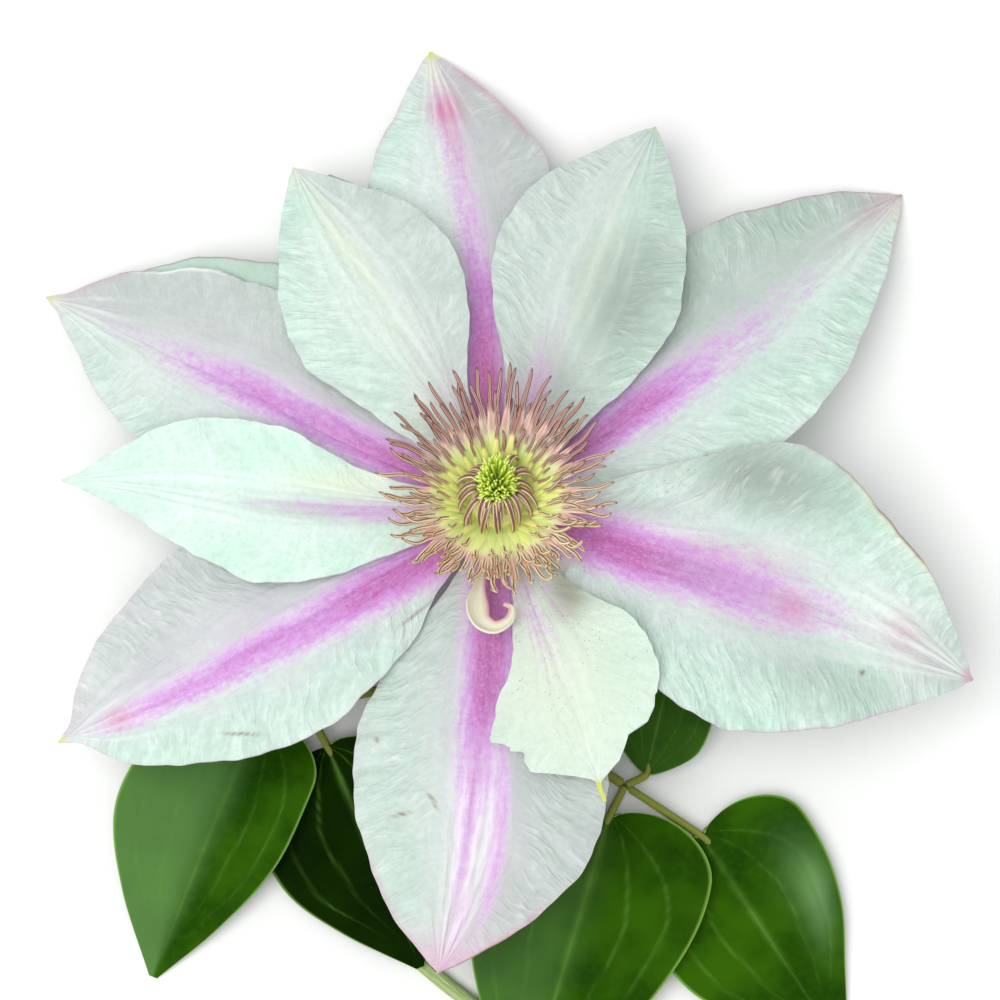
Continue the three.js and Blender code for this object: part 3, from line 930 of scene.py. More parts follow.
@dataclass(frozen=True)
class Patch:
    """A small tinted place: a share along the sepal, mm left of its midrib, and half sizes in mm."""

    tint: Tint
    along: float
    aside: float
    length: float
    breadth: float
    turn: float = 0.0
    strength: float = 1.0

    def cover(self, forward: Array, aside: Array, reach: float) -> Array:
        """Gives the patch's strength at places in mm on a sepal of a given length.

        Args:
            forward: mm from the flower's middle.
            aside: mm left of the midrib.
            reach: the sepal's length, in mm.

        Returns:
            The strength at each place.
        """
        cos, sin = math.cos(math.radians(self.turn)), math.sin(math.radians(self.turn))
        ahead, aside = forward - self.along * reach, aside - self.aside
        x, y = ahead * cos + aside * sin, aside * cos - ahead * sin
        return self.strength * np.exp(-((x / self.length) ** 2) - (y / self.breadth) ** 2)


@dataclass(frozen=True)
class Edge:
    """A tinted stretch of a margin: 1 for the left and -1 for the right one, and its depth in mm."""

    tint: Tint
    side: int
    start: float
    end: float
    depth: float
    strength: float = 1.0

    def cover(self, along: Array, across: Array, inwards: Array) -> Array:
        """Gives the stretch's strength at places that lie some mm inwards of the margin.

        Args:
            along: places along, from 0 at the base to 1 at the tip.
            across: places across, from -1 at the right margin to 1 at the left one.
            inwards: mm from the margin.

        Returns:
            The strength at each place.
        """
        fade = 0.25 * (self.end - self.start)
        window = soft_step(self.start, self.start + fade, along) * soft_step(self.end, self.end - fade, along)
        return self.strength * window * np.where(across * self.side > 0, hump(inwards, 0, self.depth), 0)


@dataclass
class Sepal:
    """One sepal: its outline and rise at even places along it, in mm, and its markings from 0 to 1.

    Attributes:
        name, slot: the node that it stands for, and its finish.
        order: its place in the list, which sets its waves.
        azimuth, length: the direction of its tip in degrees, and its distance from the flower's middle.
        left, right, ends: half widths at the base and the quarters, and those at seven eighths.
        bow, cup: how far the midrib bends left at the quarters, and how far the margins rise over it.
        rise: the midrib's height at the base, the quarters and, unless it lies on the surface, the tip.
        pinch: how much it narrows just before its tip.
        mint, mauve, shade: how mint and mauve its left and right halves are, and how much painted shade
            darkens each.
        calm, hatch, specks: how smooth it is, how finely wrinkled with painted shade in the fine wrinkles,
            and how dotted.
        blush_tip, blush_margin, green_tip, green_from: how tinted its tip and margins are, and from where.
        pleats, pale_from, paleness: where across it its pleats run, and from where on how pale they get.
        stripes, patches, edges: its bars and its small tinted places.
        torn_left, torn_right: mm forward and half width along its torn margins.
        torn_lean: how far its torn left margin leans forward for each mm past the sepal's own margin.
        swells: side, share along, spread and depth of the places where a margin bulges or draws in.
        rolled, roll_drop: whether its right margin is curled behind it, and how far.
    """

    name: str
    order: int
    azimuth: float
    length: float
    left: Widths
    right: Widths
    bow: Widths
    rise: Widths
    cup: float
    slot: Slot = Slot.SEPAL_STRIPED
    stripes: tuple[Stripe, ...] = ()
    mint: Pair = (0.3, 0.3)
    mauve: Pair = (0, 0)
    shade: Pair = (0, 0)
    calm: float = 0.0
    hatch: float = 0.3
    specks: float = 0.3
    blush_tip: float = 0.2
    blush_margin: float = 0.3
    green_tip: float = 0.8
    green_from: float = 0.975
    ends: Pair = (8, 8)
    pinch: float = 0.0
    pleats: Widths = (0, 0.2, -0.2, 0.43, -0.43)
    pale_from: float = 0.7
    paleness: float = 0.6
    patches: tuple[Patch, ...] = ()
    edges: tuple[Edge, ...] = ()
    torn_left: tuple[Pair, ...] = ()
    torn_right: tuple[Pair, ...] = ()
    torn_lean: float = 0.0
    swells: tuple[tuple[float, float, float, float], ...] = ()
    rolled: bool = False
    roll_drop: float = 1.6
    base_radius: float = 4.5
    tip_half_width: float = 0.5
    full_half_width: float = 20.0
    thickness: float = 0.45
    columns: int = 84
    rows: int = 168

    def rises(self) -> Widths:
        """The midrib's heights, with the tip on the surface where it isn't stated.

        Returns:
            Five heights from the base to the tip, in mm.
        """
        if len(self.rise) == 5:
            return self.rise
        ahead = self.length * math.sin(math.radians(self.azimuth))
        lowered = PLACE.height - ahead * math.sin(PLACE.tilt)
        corner = self.tip_half_width * math.tan(PLACE.tilt)
        return (*self.rise, 0.3 + corner - lowered / math.cos(PLACE.tilt))

    def half_widths(self, across: Array, along: Array) -> Array:
        """Half the sepal's width on the side of each place.

        Args:
            across: places across, from -1 at the right margin to 1 at the left one.
            along: places along, from 0 at the base to 1 at the tip.

        Returns:
            The half widths, in mm.
        """
        half = np.zeros(len(along))
        sides = ((self.left, self.ends[0], across > 0), (self.right, self.ends[1], across <= 0))
        for widths, end, here in sides:
            eighths = smooth_at((*widths, self.tip_half_width), np.linspace(0, 1, 9))
            eighths[7] = end
            half = np.where(here, smooth_at(eighths, along), half)
        half = half * (1 - self.pinch * hump(along, 0.975, 0.035)) * (1 - 0.6 * soft_step(0.98, 1, along))
        phase = np.where(across > 0, 0, 1.9) + 2.3 * self.order
        wobble = np.sin(31 * along + phase) + 0.7 * np.sin(57 * along + 2.1 * phase)
        half = half + 0.17 * (wobble + 0.4 * np.sin(121 * along + phase)) * np.minimum(half / 10, 1)
        forward = self.base_radius + (self.length - self.base_radius) * along
        for torn, side in ((self.torn_left, 1), (self.torn_right, -1)):
            if torn:
                here = (across * side > 0) & (forward > torn[0][0]) & (forward < torn[-1][0])
                half = np.where(here, np.interp(forward, *zip(*torn)), half)
        for side, place, spread, depth in self.swells:
            half = np.where(across * side > 0, half + depth * hump(along, place, spread), half)
        return np.maximum(half, 0.2)

    def lay_out(self, across: Array, along: Array) -> tuple[Array, ...]:
        """Works out where a place on the sepal lies.

        Args:
            across: from -1 at the right margin to 1 at the left one.
            along: from 0 at the base to 1 at the tip.

        Returns:
            Points in the row's frame, mm forward and mm left of the midrib.
        """
        cos, sin = math.cos(math.radians(self.azimuth)), math.sin(math.radians(self.azimuth))
        forward = self.base_radius + (self.length - self.base_radius) * along
        half = self.half_widths(across, along)
        aside = across * half
        if self.torn_lean:
            past = np.maximum(aside - self.left[2], 0)
            past = past * soft_step(self.torn_left[0][0], self.torn_left[2][0], forward)
            forward = forward + self.torn_lean * past
        beside = smooth_at((0, *self.bow, 0), along) + aside
        fullness = half / self.full_half_width
        reach = np.abs(across)
        phase = 1.7 * self.order + np.where(across > 0, 0, 2)
        height = smooth_at(self.rises(), along) + self.cup * across**2 * fullness**2
        height = height + 0.5 * reach**3 * fullness * np.sin(6 * math.pi * along + phase)
        height = height - 0.4 * fullness * np.maximum(0, 1 - 3 * reach)
        height = height + self.relief(across, along, forward, aside)
        height = height - self.roll_drop * self.roll_cover(across, along)
        points = np.stack([cos * forward - sin * beside, sin * forward + cos * beside, height], axis=-1)
        return PLACE.to_row(points), forward, aside

    def relief(self, across: Array, along: Array, forward: Array, aside: Array) -> Array:
        """Low pleats along the veins and ripples towards the margins, in mm.

        Args:
            across: places across, from -1 at the right margin to 1 at the left one.
            along: places along, from 0 at the base to 1 at the tip.
            forward: mm from the flower's middle.
            aside: mm left of the midrib.

        Returns:
            The heights over the smooth blade.
        """
        reach = np.abs(across)
        fade = np.sin(math.pi * np.clip(along * 1.02, 0, 1)) ** 0.5
        furrows = 0.0
        for number, place in enumerate(self.pleats):
            deep = 0.22 if number == 0 else 0.12
            furrows = furrows - deep * hump(across, place * (1 - 0.3 * along), 0.035)
        furrows = furrows * (1 - soft_step(0.4, 0.8, along))
        slope = forward - VEIN_SLANT * np.abs(aside)
        swing = 1.3 * np.sin(0.23 * aside + self.order) + 0.9 * np.sin(0.11 * forward + 2.0 * self.order)
        ripples = 0.08 * np.sin(2 * math.pi * slope / 3.7 + 2 * swing)
        ripples = ripples + 0.03 * np.sin(2 * math.pi * slope / 2.1 + 2.3 * swing + 0.3 * aside)
        scallops = 0.3 * reach**4 * np.sin(2 * math.pi * slope / 9.5 + 1.4 * swing)
        ripples = ripples * soft_step(0.2, 0.8, reach) * (1 - 0.6 * self.calm)
        return fade * (furrows + ripples + scallops) + 0.22 * self.pleat_cover(across, along)

    def pleat_cover(self, across: Array, along: Array) -> Array:
        """How far each place belongs to the pale pleats that run together at the tip.

        Args:
            across: places across, from -1 at the right margin to 1 at the left one.
            along: places along, from 0 at the base to 1 at the tip.

        Returns:
            The strength at each place.
        """
        crest = np.zeros(len(across))
        for number, place in enumerate(self.pleats):
            sway = 0.02 * np.sin(8 * along + 2.0 * number + self.order)
            crest = np.maximum(crest, hump(across, place + sway, 0.045) * (1.0 if number < 3 else 0.6))
        return crest * soft_step(self.pale_from, self.pale_from + 0.18, along) * soft_step(1, 0.95, along)

    def roll_cover(self, across: Array, along: Array) -> Array:
        """How far each place belongs to the curled right margin, if there is one."""
        window = self.rolled * soft_step(0.42, 0.47, along) * soft_step(0.9, 0.86, along)
        return window * soft_step(0, 0.02, self.roll_line(along) - across)

    def roll_line(self, along: Array) -> Array:
        """Where across the sepal a curled margin begins."""
        return -0.775 - 0.06 * soft_step(0.62, 0.7, along) - 0.165 * soft_step(0.79, 0.89, along)

    def bars(self, along: Array, aside: Array, *shape: float) -> Array:
        """The strongest of the sepal's bars at each place."""
        covers = [stripe.cover(along, aside, *shape) for stripe in self.stripes]
        return np.maximum.reduce([np.zeros(len(along)), *covers])

    def build(self) -> Piece:
        """Models the sepal and stores its markings.

        Returns:
            The finished piece.
        """
        sheet = Sheet(self.name + FINE, self.columns, self.rows)
        across, along = sheet.across, sheet.along
        points, forward, aside = self.lay_out(across, along)
        sheet.lay(points)
        ahead = forward + PATTERN_SHIFT * self.order
        sheet.chart("veins", across, ahead)
        sheet.chart("span", aside, ahead)
        reach = np.abs(across)
        inwards = (1 - reach) * self.half_widths(across, along)
        blush = self.blush_margin * hump(inwards, 0, 0.45) + self.blush_tip * soft_step(0.86, 1, along)
        # painted highlight: a pale line along the lit edge of the blade where its right margin curls under
        fold_highlight = hump(across, self.roll_line(along) + 0.02, 0.012) * soft_step(0.62, 0.72, along)
        fold_highlight = self.rolled * fold_highlight * soft_step(0.88, 0.84, along)
        roll = self.roll_cover(across, along)
        inner = 1 - (0.45 * hump(reach, 0, 0.35) if self.slot is Slot.SEPAL_STRIPED else 0)
        covers = {tint: np.zeros(len(across)) for tint in Tint}
        # painted shade: each half darkened as the light falls on it, the curled strip a little more
        covers[SHADE] = halves(self.shade, across) + 0.06 * roll
        places = [(patch.tint, patch.cover(forward, aside, self.length)) for patch in self.patches]
        places += [(edge.tint, edge.cover(along, across, inwards)) for edge in self.edges]
        for tint, cover in places:
            covers[tint] = np.maximum(covers[tint], cover)
        sheet.mark(
            stripe=self.bars(along, aside, 1.4, 1.1, 2.2),
            halo=self.bars(along, aside, 1, 2.3, 2),
            blush=np.clip(blush, 0, 1),
            tip=self.green_tip * soft_step(self.green_from, self.green_from + 0.015, along),
            pleat=np.maximum(self.paleness * self.pleat_cover(across, along), fold_highlight),
            mint=np.maximum(inner * halves(self.mint, across), roll),
            mauve=halves(self.mauve, across) * (1 - roll),
            calm=np.maximum(self.calm, roll),
            hatch=self.hatch * (1 - roll) * soft_step(0.25, 0.6, reach),
            specks=self.specks * np.clip(1.3 - 1.2 * along, 0, 1),
            **{tint.value: cover for tint, cover in covers.items()},
        )
        sheet.thicken(self.thickness)
        return shaded()


SEPALS = (
    Sepal(
        "sepal_inner_upper_left", 0, 119, 83, (2, 12.5, 20.5, 14), (1.5, 4.5, 15.2, 15.5), (-2.5, -2, -0.5),
        (2, 4.4, 5.2, 4, 1), -0.8, Slot.SEPAL_WHITE, ends=(7.8, 8.5), mint=(0.8, 0.45), mauve=(0, 0.2),
        shade=(0.12, 0.22), calm=0.25, blush_tip=0, blush_margin=0.1, green_tip=0.15,
        pale_from=0.3, paleness=0.2,
        stripes=(Stripe((-1, 0, 1, 1, 0), (3, 3, 3, 2, 2), (0.2, 0.2, 0.05, 0, 0)),),
        patches=(
            Patch(CREAM, 0.74, 0.3, 18, 2.2, 0, 0.4), Patch(CREAM, 0.5, 2, 12, 5, 0, 0.15),
            Patch(SHADE, 0.2, 0, 14, 10, 0, 0.32),
            Patch(ROSE, 0.22, 2, 16, 9, 0, 0.15),
        ),
    ),
    Sepal(
        "sepal_inner_upper_right", 1, 69, 87.5, (1.5, 8, 18.8, 16.6), (2, 11.8, 18.6, 14), (0, 0, 0.5),
        (2, 4.4, 5.2, 4, 1), -0.8, Slot.SEPAL_WHITE, ends=(9.3, 7.8), mint=(0.55, 0.8), mauve=(0.2, 0),
        shade=(0.22, 0.3), blush_tip=0, blush_margin=0.1, green_tip=0.2, pale_from=0.25, paleness=0.25,
        stripes=(Stripe((2, 1.6, 2.5, 0, 0), (3, 3, 3, 2, 2), (0.55, 0.42, 0.08, 0, 0)),),
        patches=(
            Patch(CREAM, 0.6, 0, 16, 2.5, 0, 0.2), Patch(SHADE, 0.32, 0, 15, 12, 0, 0.52),
            Patch(SHADE, 0.56, -8, 19, 11, 0, 0.85), Patch(ROSE, 0.2, 2, 14, 8, 0, 0.16),
        ),
    ),
    Sepal(
        "sepal_inner_left", 2, 175, 83.5, (2.2, 12.4, 16.8, 9), (1.8, 6.4, 15, 13), (2.5, 3, 1.5),
        (2, 4.6, 5.2, 3, -2), -0.4, Slot.SEPAL_WHITE, ends=(4, 6.6), pinch=0.35, mint=(0.9, 0.9), calm=0.7,
        hatch=0.1, blush_tip=0, blush_margin=0.1, green_tip=0.2, pale_from=0.45, paleness=0.25,
        pleats=(0, 0.16, -0.16, 0.3, -0.3),
        stripes=(Stripe(
            (1.4, 1.5, 1.3, 0.9, 0), (2.2, 2.1, 1.7, 1, 1), (0.5, 0.56, 0.62, 0.46, 0.28, 0.12, 0.05, 0, 0),
        ),),
        patches=(Patch(CREAM, 0.36, -4, 9, 3, 0, 0.6), Patch(SHADE, 0.34, 1.4, 16, 2.2, 0, 0.6)),
    ),
    Sepal(
        "sepal_inner_lower_right", 3, -71, 61, (2, 7.6, 17.4, 15), (1.5, 2.8, 8.2, 16.6), (-0.5, -0.5, 0),
        (2, 4.2, 6, 5, 0.6), 0.8, Slot.SEPAL_WHITE, ends=(7.2, 9), mint=(0.8, 0.7), shade=(0.18, 0.18),
        calm=0.8, hatch=0.1, blush_tip=0, blush_margin=0.05, green_tip=1, green_from=0.925, specks=1,
        pale_from=1,
        stripes=(
            Stripe((-0.5, -0.8, -0.4, 0, 0), (2.2, 2.8, 3.4, 2, 2), (0.5, 0.42, 0.26, 0, 0)),
            Stripe((1, 3.5, 6, 6, 0), (1.6, 1.8, 2, 2, 2), (0.4, 0.3, 0.1, 0, 0)),
        ),
        patches=(
            Patch(CREAM, 0.6, 0, 22, 16, 0, 0.45), Patch(SHADE, 0.2, 0, 9, 9, 0, 0.55),
            Patch(SHADE, 0.34, 7.2, 7, 4.5, -20, 0.95), Patch(DRY, 0.35, 7.6, 5, 3.2, -20, 0.28),
            Patch(DRY, 0.27, 6.5, 0.14, 1.5, -20),
        ),
        torn_left=(
            (45.7, 15.2), (48, 14.2), (50.3, 12), (51.2, 8), (53, 6.6), (55, 4.9), (57, 1), (57.6, 0.4),
            (62, 0.3),
        ),
        torn_right=(
            (44, 16.5), (45.2, 16.6), (45.9, 14.6), (46.9, 13.6), (47.7, 13.9), (48.1, 12.2), (48.7, 11.4),
            (50, 11.9), (52, 11.4), (53.1, 8.9), (55, 3.8), (56.6, 0.9), (57.2, 0.4), (62, 0.3),
        ),
    ),
    Sepal(
        "sepal_outer_top", 4, 97.5, 104, (2, 12, 19.5, 16.2), (2, 7.5, 15.8, 16.2), (-2, -3, -2),
        (0, 1, 0, -3), -0.6, ends=(8.8, 9.8), mint=(0.66, 0.1), mauve=(0.05, 0.5), shade=(0, 0.34), calm=0.15,
        stripes=(Stripe(
            (0, 0.5, -0.1, 0.4, 0), (3.8, 3.6, 3.2, 3.4, 2.4),
            (1.65, 1.65, 1.35, 1, 0.68, 0.5, 0.44, 0.3, 0),
        ),),
        patches=(
            Patch(ROSE, 0.855, -0.2, 4.6, 3.2, 0, 1), Patch(ROSE, 0.8, -0.2, 7, 1.8, 0, 0.5),
            Patch(CREAM, 0.95, 0.4, 5, 1.4, 0, 0.9), Patch(ROSE, 0.22, 0, 16, 3.4, 0, 0.4),
        ),
        edges=(
            Edge(ROSE, -1, 0.74, 0.98, 1.3, 0.55), Edge(ROSE, 1, 0.76, 0.9, 0.7, 0.3),
            Edge(SHADE, 1, 0.5, 0.71, 0.7, 1),
        ),
        torn_left=(
            (54, 19.6), (62, 24.5), (67, 27.2), (69.3, 27.1), (71.3, 25.4), (71.8, 18.8), (74.6, 17.9),
            (80, 15.9),
        ),
        torn_lean=0.9,
    ),
    Sepal(
        "sepal_outer_upper_right", 5, 42, 109, (2, 13.5, 23.2, 18), (2, 18, 21.8, 14), (-2.5, -4, -3),
        (0, 1, 0, -4), -0.8, ends=(11.2, 7.8), mint=(0.75, 1), shade=(0.46, 0.08), blush_tip=0.15, hatch=0.7,
        green_tip=0, paleness=0.3,
        stripes=(Stripe(
            (1.2, 0.4, 0, 0, 0), (4.6, 4.2, 4.8, 4.8, 3.4),
            (1.3, 1.38, 1.22, 0.86, 0.5, 0.32, 0.2, 0.14, 0.1),
        ),),
        patches=(
            Patch(ROSE, 0.95, 1.5, 9, 3, 0, 0.35), Patch(DRY, 1, 0, 1.2, 1, 0, 0.4),
            Patch(DRY, 0.34, -15.5, 0.9, 0.5, 30, 0.5), Patch(SHADE, 0.5, 14, 20, 8, 0, 0.6),
            Patch(CREAM, 0.97, -1, 6, 4, 0, 0.4),
        ),
        edges=(Edge(DRY, 1, 0.6, 1, 0.25, 0.4), Edge(ROSE, 1, 0.7, 1, 0.6, 0.35)),
    ),
    Sepal(
        "sepal_outer_right", 6, -19.5, 95, (2.5, 17, 28.6, 20), (2.5, 18.5, 29.6, 22.4), (1, 2, 2),
        (1, 2.6, 2.4, 0, -6), 0.6, ends=(12.8, 12.6), mint=(0.9, 1), shade=(0.02, 0.07),
        blush_tip=0.1, hatch=1, specks=0.6, green_tip=0, pale_from=0.62, paleness=0.7,
        pleats=(0.04, 0.2, -0.16, 0.38, -0.36),
        stripes=(Stripe(
            (0.6, -1, -2, -1.4, 1), (5, 5.2, 5.6, 4.6, 3.6),
            (1.35, 1.5, 1.4, 1.1, 0.86, 0.56, 0.2, 0.14, 0.1),
        ),),
        patches=(
            Patch(ROSE, 0.62, -2.4, 4.4, 3, 0, 0.55), Patch(ROSE, 0.84, 1.4, 4.5, 4, 0, 0.42),
            Patch(ROSE, 1, 0, 2.4, 2, 0, 0.8), Patch(SHADE, 0.48, 21, 15, 8, 0, 0.95),
            Patch(SHADE, 0.3, 8, 16, 3, 10, 0.3), Patch(SHADE, 0.52, -2, 14, 6, 0, 0.6),
            Patch(SHADE, 0.73, -14, 16, 7, 0, 0.45),
            Patch(DRY, 0.79, -9.5, 0.5, 0.5), Patch(ROSE, 0.86, 0, 12, 7, 0, 0.16),
            Patch(SHADE, 0.42, -1.5, 12, 5, 0, 0.8), Patch(ROSE, 0.5, 5, 14, 3, 8, 0.2),
            Patch(ROSE, 0.56, -9, 12, 4, -4, 0.1),
            Patch(SHADE, 0.92, 0, 9, 6, 0, 0.3),
        ),
        edges=(
            Edge(DRY, 1, 0.66, 0.86, 0.5, 0.95), Edge(DRY, 1, 0.5, 0.98, 0.2, 0.6),
            Edge(CREAM, 1, 0.6, 0.9, 1.6, 0.5), Edge(ROSE, -1, 0.6, 0.98, 0.4, 0.3),
        ),
    ),
    Sepal(
        "sepal_outer_bottom", 7, -97, 88, (2, 14, 22.9, 20.8), (2, 14.8, 23.4, 19.4), (2, 3, 3),
        (0, 1, 0, -4, -10), -1, ends=(13.4, 12.2), mint=(0.3, 0.75), mauve=(0.6, 0.15), shade=(0.42, 0.3),
        blush_tip=0.7, green_tip=0, pale_from=0.45, paleness=0.75, hatch=0.2,
        pleats=(0.03, 0.11, -0.1, 0.2, -0.22),
        stripes=(
            Stripe(
                (0, 0.3, -0.8, -0.8, 0), (4.2, 4.4, 4, 2, 1), (1.3, 1.35, 1.4, 1.35, 1, 0.92, 0.66, 0.4, 0),
            ),
            Stripe((2, 3, 3.6, 5, 5), (1.8, 1.8, 1.8, 1.8, 1), (0, 0, 0, 0.35, 0.62, 0.8, 0.72, 0.4, 0)),
            Stripe((1, 1, 1, 1.2, 1), (1.6, 1.6, 1.6, 1.8, 1.2), (0, 0, 0, 0, 0, 0, 0.1, 0.6, 0)),
        ),
        patches=(
            Patch(DRY, 0.65, -8.4, 1.1, 0.26, 50, 0.9), Patch(DRY, 0.665, -7.6, 0.9, 0.24, 40, 0.7),
            Patch(DRY, 0.69, -13.6, 1.7, 0.26, 107, 0.9), Patch(DRY, 0.54, -19.7, 0.4, 0.35),
            Patch(ROSE, 0.98, 0, 4, 6, 0, 0.35), Patch(SHADE, 0.7, -1, 12, 6, 0, 0.55),
            Patch(ROSE, 0.86, 1, 12, 7, 0, 0.12),
        ),
        swells=((-1, 0.14, 0.08, -1.2),),
        edges=(
            Edge(DRY, 1, 0.88, 1.04, 0.35, 0.8), Edge(ROSE, 1, 0.8, 1.05, 1.2, 0.5),
            Edge(ROSE, -1, 0.74, 1.05, 0.9, 0.4),
        ),
    ),
    Sepal(
        "sepal_outer_lower_left", 8, -152, 93, (2.5, 14.8, 21, 16), (2.5, 13, 23.4, 19.2), (1.5, 2.5, 2.5),
        (1, 2, 1.2, -1.4, -7), 0.2, ends=(10.3, 12), pinch=0.5, mint=(0.9, 0.35), mauve=(0, 0.6),
        shade=(0.12, 0.24), hatch=0.4, blush_margin=0.35, green_tip=0.6, paleness=0.4,
        swells=((1, 0.13, 0.07, -1.5),),
        stripes=(Stripe(
            (2, 2.1, 1.7, 1.2, 0.8), (4.6, 4.3, 4.1, 3.1, 1.8),
            (1.15, 1.3, 1.25, 1.08, 0.96, 0.92, 0.8, 0.5, 0),
        ),),
        patches=(
            Patch(DRY, 0.25, 10.4, 3.4, 0.22, 8, 0.9),
            Patch(DRY, 0.674, 14.3, 3.4, 0.26, -32, 0.8), Patch(ROSE, 0.87, 0.8, 2.8, 2, 0, 0.7),
            Patch(SHADE, 0.6, -16, 16, 5, 0, 0.2),
        ),
    ),
    Sepal(
        "sepal_outer_left", 9, 150, 103.5, (2, 12.5, 20.5, 14.6), (2, 18.5, 27.6, 21.5), (2.5, 2.5, 2),
        (0, 1, 0, -5), 0.6, ends=(7, 11.6), pinch=0.4, mint=(0.7, 0.15), mauve=(0.1, 0.35), shade=(0.1, 0.34),
        calm=0.35, rolled=True, green_tip=0.5, columns=132, paleness=0.55,
        stripes=(Stripe(
            (-0.6, -1.1, -0.6, -0.5, 0), (4, 3.9, 3.8, 3.4, 2.6),
            (1.35, 1.35, 1.15, 1.02, 0.95, 0.66, 0.25, 0.16, 0),
        ),),
        edges=(
            Edge(ROSE, -1, 0.8, 0.98, 1.3, 0.3), Edge(SHADE, -1, 0.44, 0.9, 0.5, 1),
            # painted shadow: this dry-tint edge and the shade edge above darken the fold of the curled right
            # margin
            Edge(DRY, -1, 0.44, 0.88, 0.28, 0.35),
        ),
        patches=(
            Patch(CREAM, 0.98, 0, 3, 2, 0, 0.6), Patch(SHADE, 0.5, -24, 8, 5, 0, 0.6),
            Patch(SHADE, 0.55, -2, 12, 5, 0, 0.4),
        ),
    ),
)


def bezier(first: Array, second: Array, third: Array, share: Array) -> Array:
    """A plain arc from the first point to the third one, pulled towards the second."""
    t = share[:, None]
    return (1 - t) ** 2 * first + 2 * t * (1 - t) * second + t**2 * third


@dataclass
class Strand:
    """A thin strand that is modelled once, straight, and then copied along each of its curves.

    Attributes:
        name: the master's name.
        sides, rows: faces round it and along it.
        widths, depths: half widths and half depths in mm at even places.
        groove: how deep its two flat faces are furrowed, at even places.
    """

    name: str
    sides: int
    rows: int
    widths: Widths
    depths: Widths
    groove: Widths = (0, 0)

    def build(self) -> None:
        """Models the straight strand."""
        self.master = Sheet(self.name, self.sides, self.rows)
        self.along, cos = self.master.along, np.cos(self.master.turn)
        furrow = 1 - smooth_at(self.groove, self.along) * hump(cos, 0, 0.45)
        self.x = self.master.closed(cos * smooth_at(self.widths, self.along))
        self.y = self.master.closed(np.sin(self.master.turn) * furrow * smooth_at(self.depths, self.along))
        self.master.chart("strand", cos, self.along)

    def copy_along(self, path: Array, aside: Array, size: float = 1) -> Sheet:
        """Copies the strand along a curve.

        Args:
            path: a point for each vertex, in the flower's axes.
            aside: the direction of the strand's flat width.
            size: how thick it is beside the master.

        Returns:
            The copy, with its own mesh.
        """
        order = np.argsort(self.along, kind="stable")
        steps = path[order].reshape(self.rows + 1, self.sides + 1, 3)[:, 0]
        tangent = np.empty_like(path)
        tangent[order] = np.repeat(unit(np.gradient(steps, axis=0)), self.sides + 1, axis=0)
        flat = unit(aside - tangent * np.sum(aside * tangent, axis=1)[:, None])
        up = np.cross(tangent, flat)
        sheet = self.master.copy()
        sheet.lay(PLACE.to_row(path + size * (self.x[:, None] * flat + self.y[:, None] * up)))
        return sheet

    def drop(self) -> None:
        """Removes the straight master."""
        bpy.data.objects.remove(self.master.piece, do_unlink=True)


@dataclass(frozen=True)
class Whorl:
    """Leaning stamens of one kind, in degrees and mm.

    Attributes:
        count, first, spread: how many there are, where they begin, and how far round they are spread.
        reach, more: the reach of the first one, and how much further the last one reaches.
        upright: by how much their filaments stand steeper.
    """

    count: int
    first: float
    spread: float
    reach: float
    more: float
    upright: float = 0.0


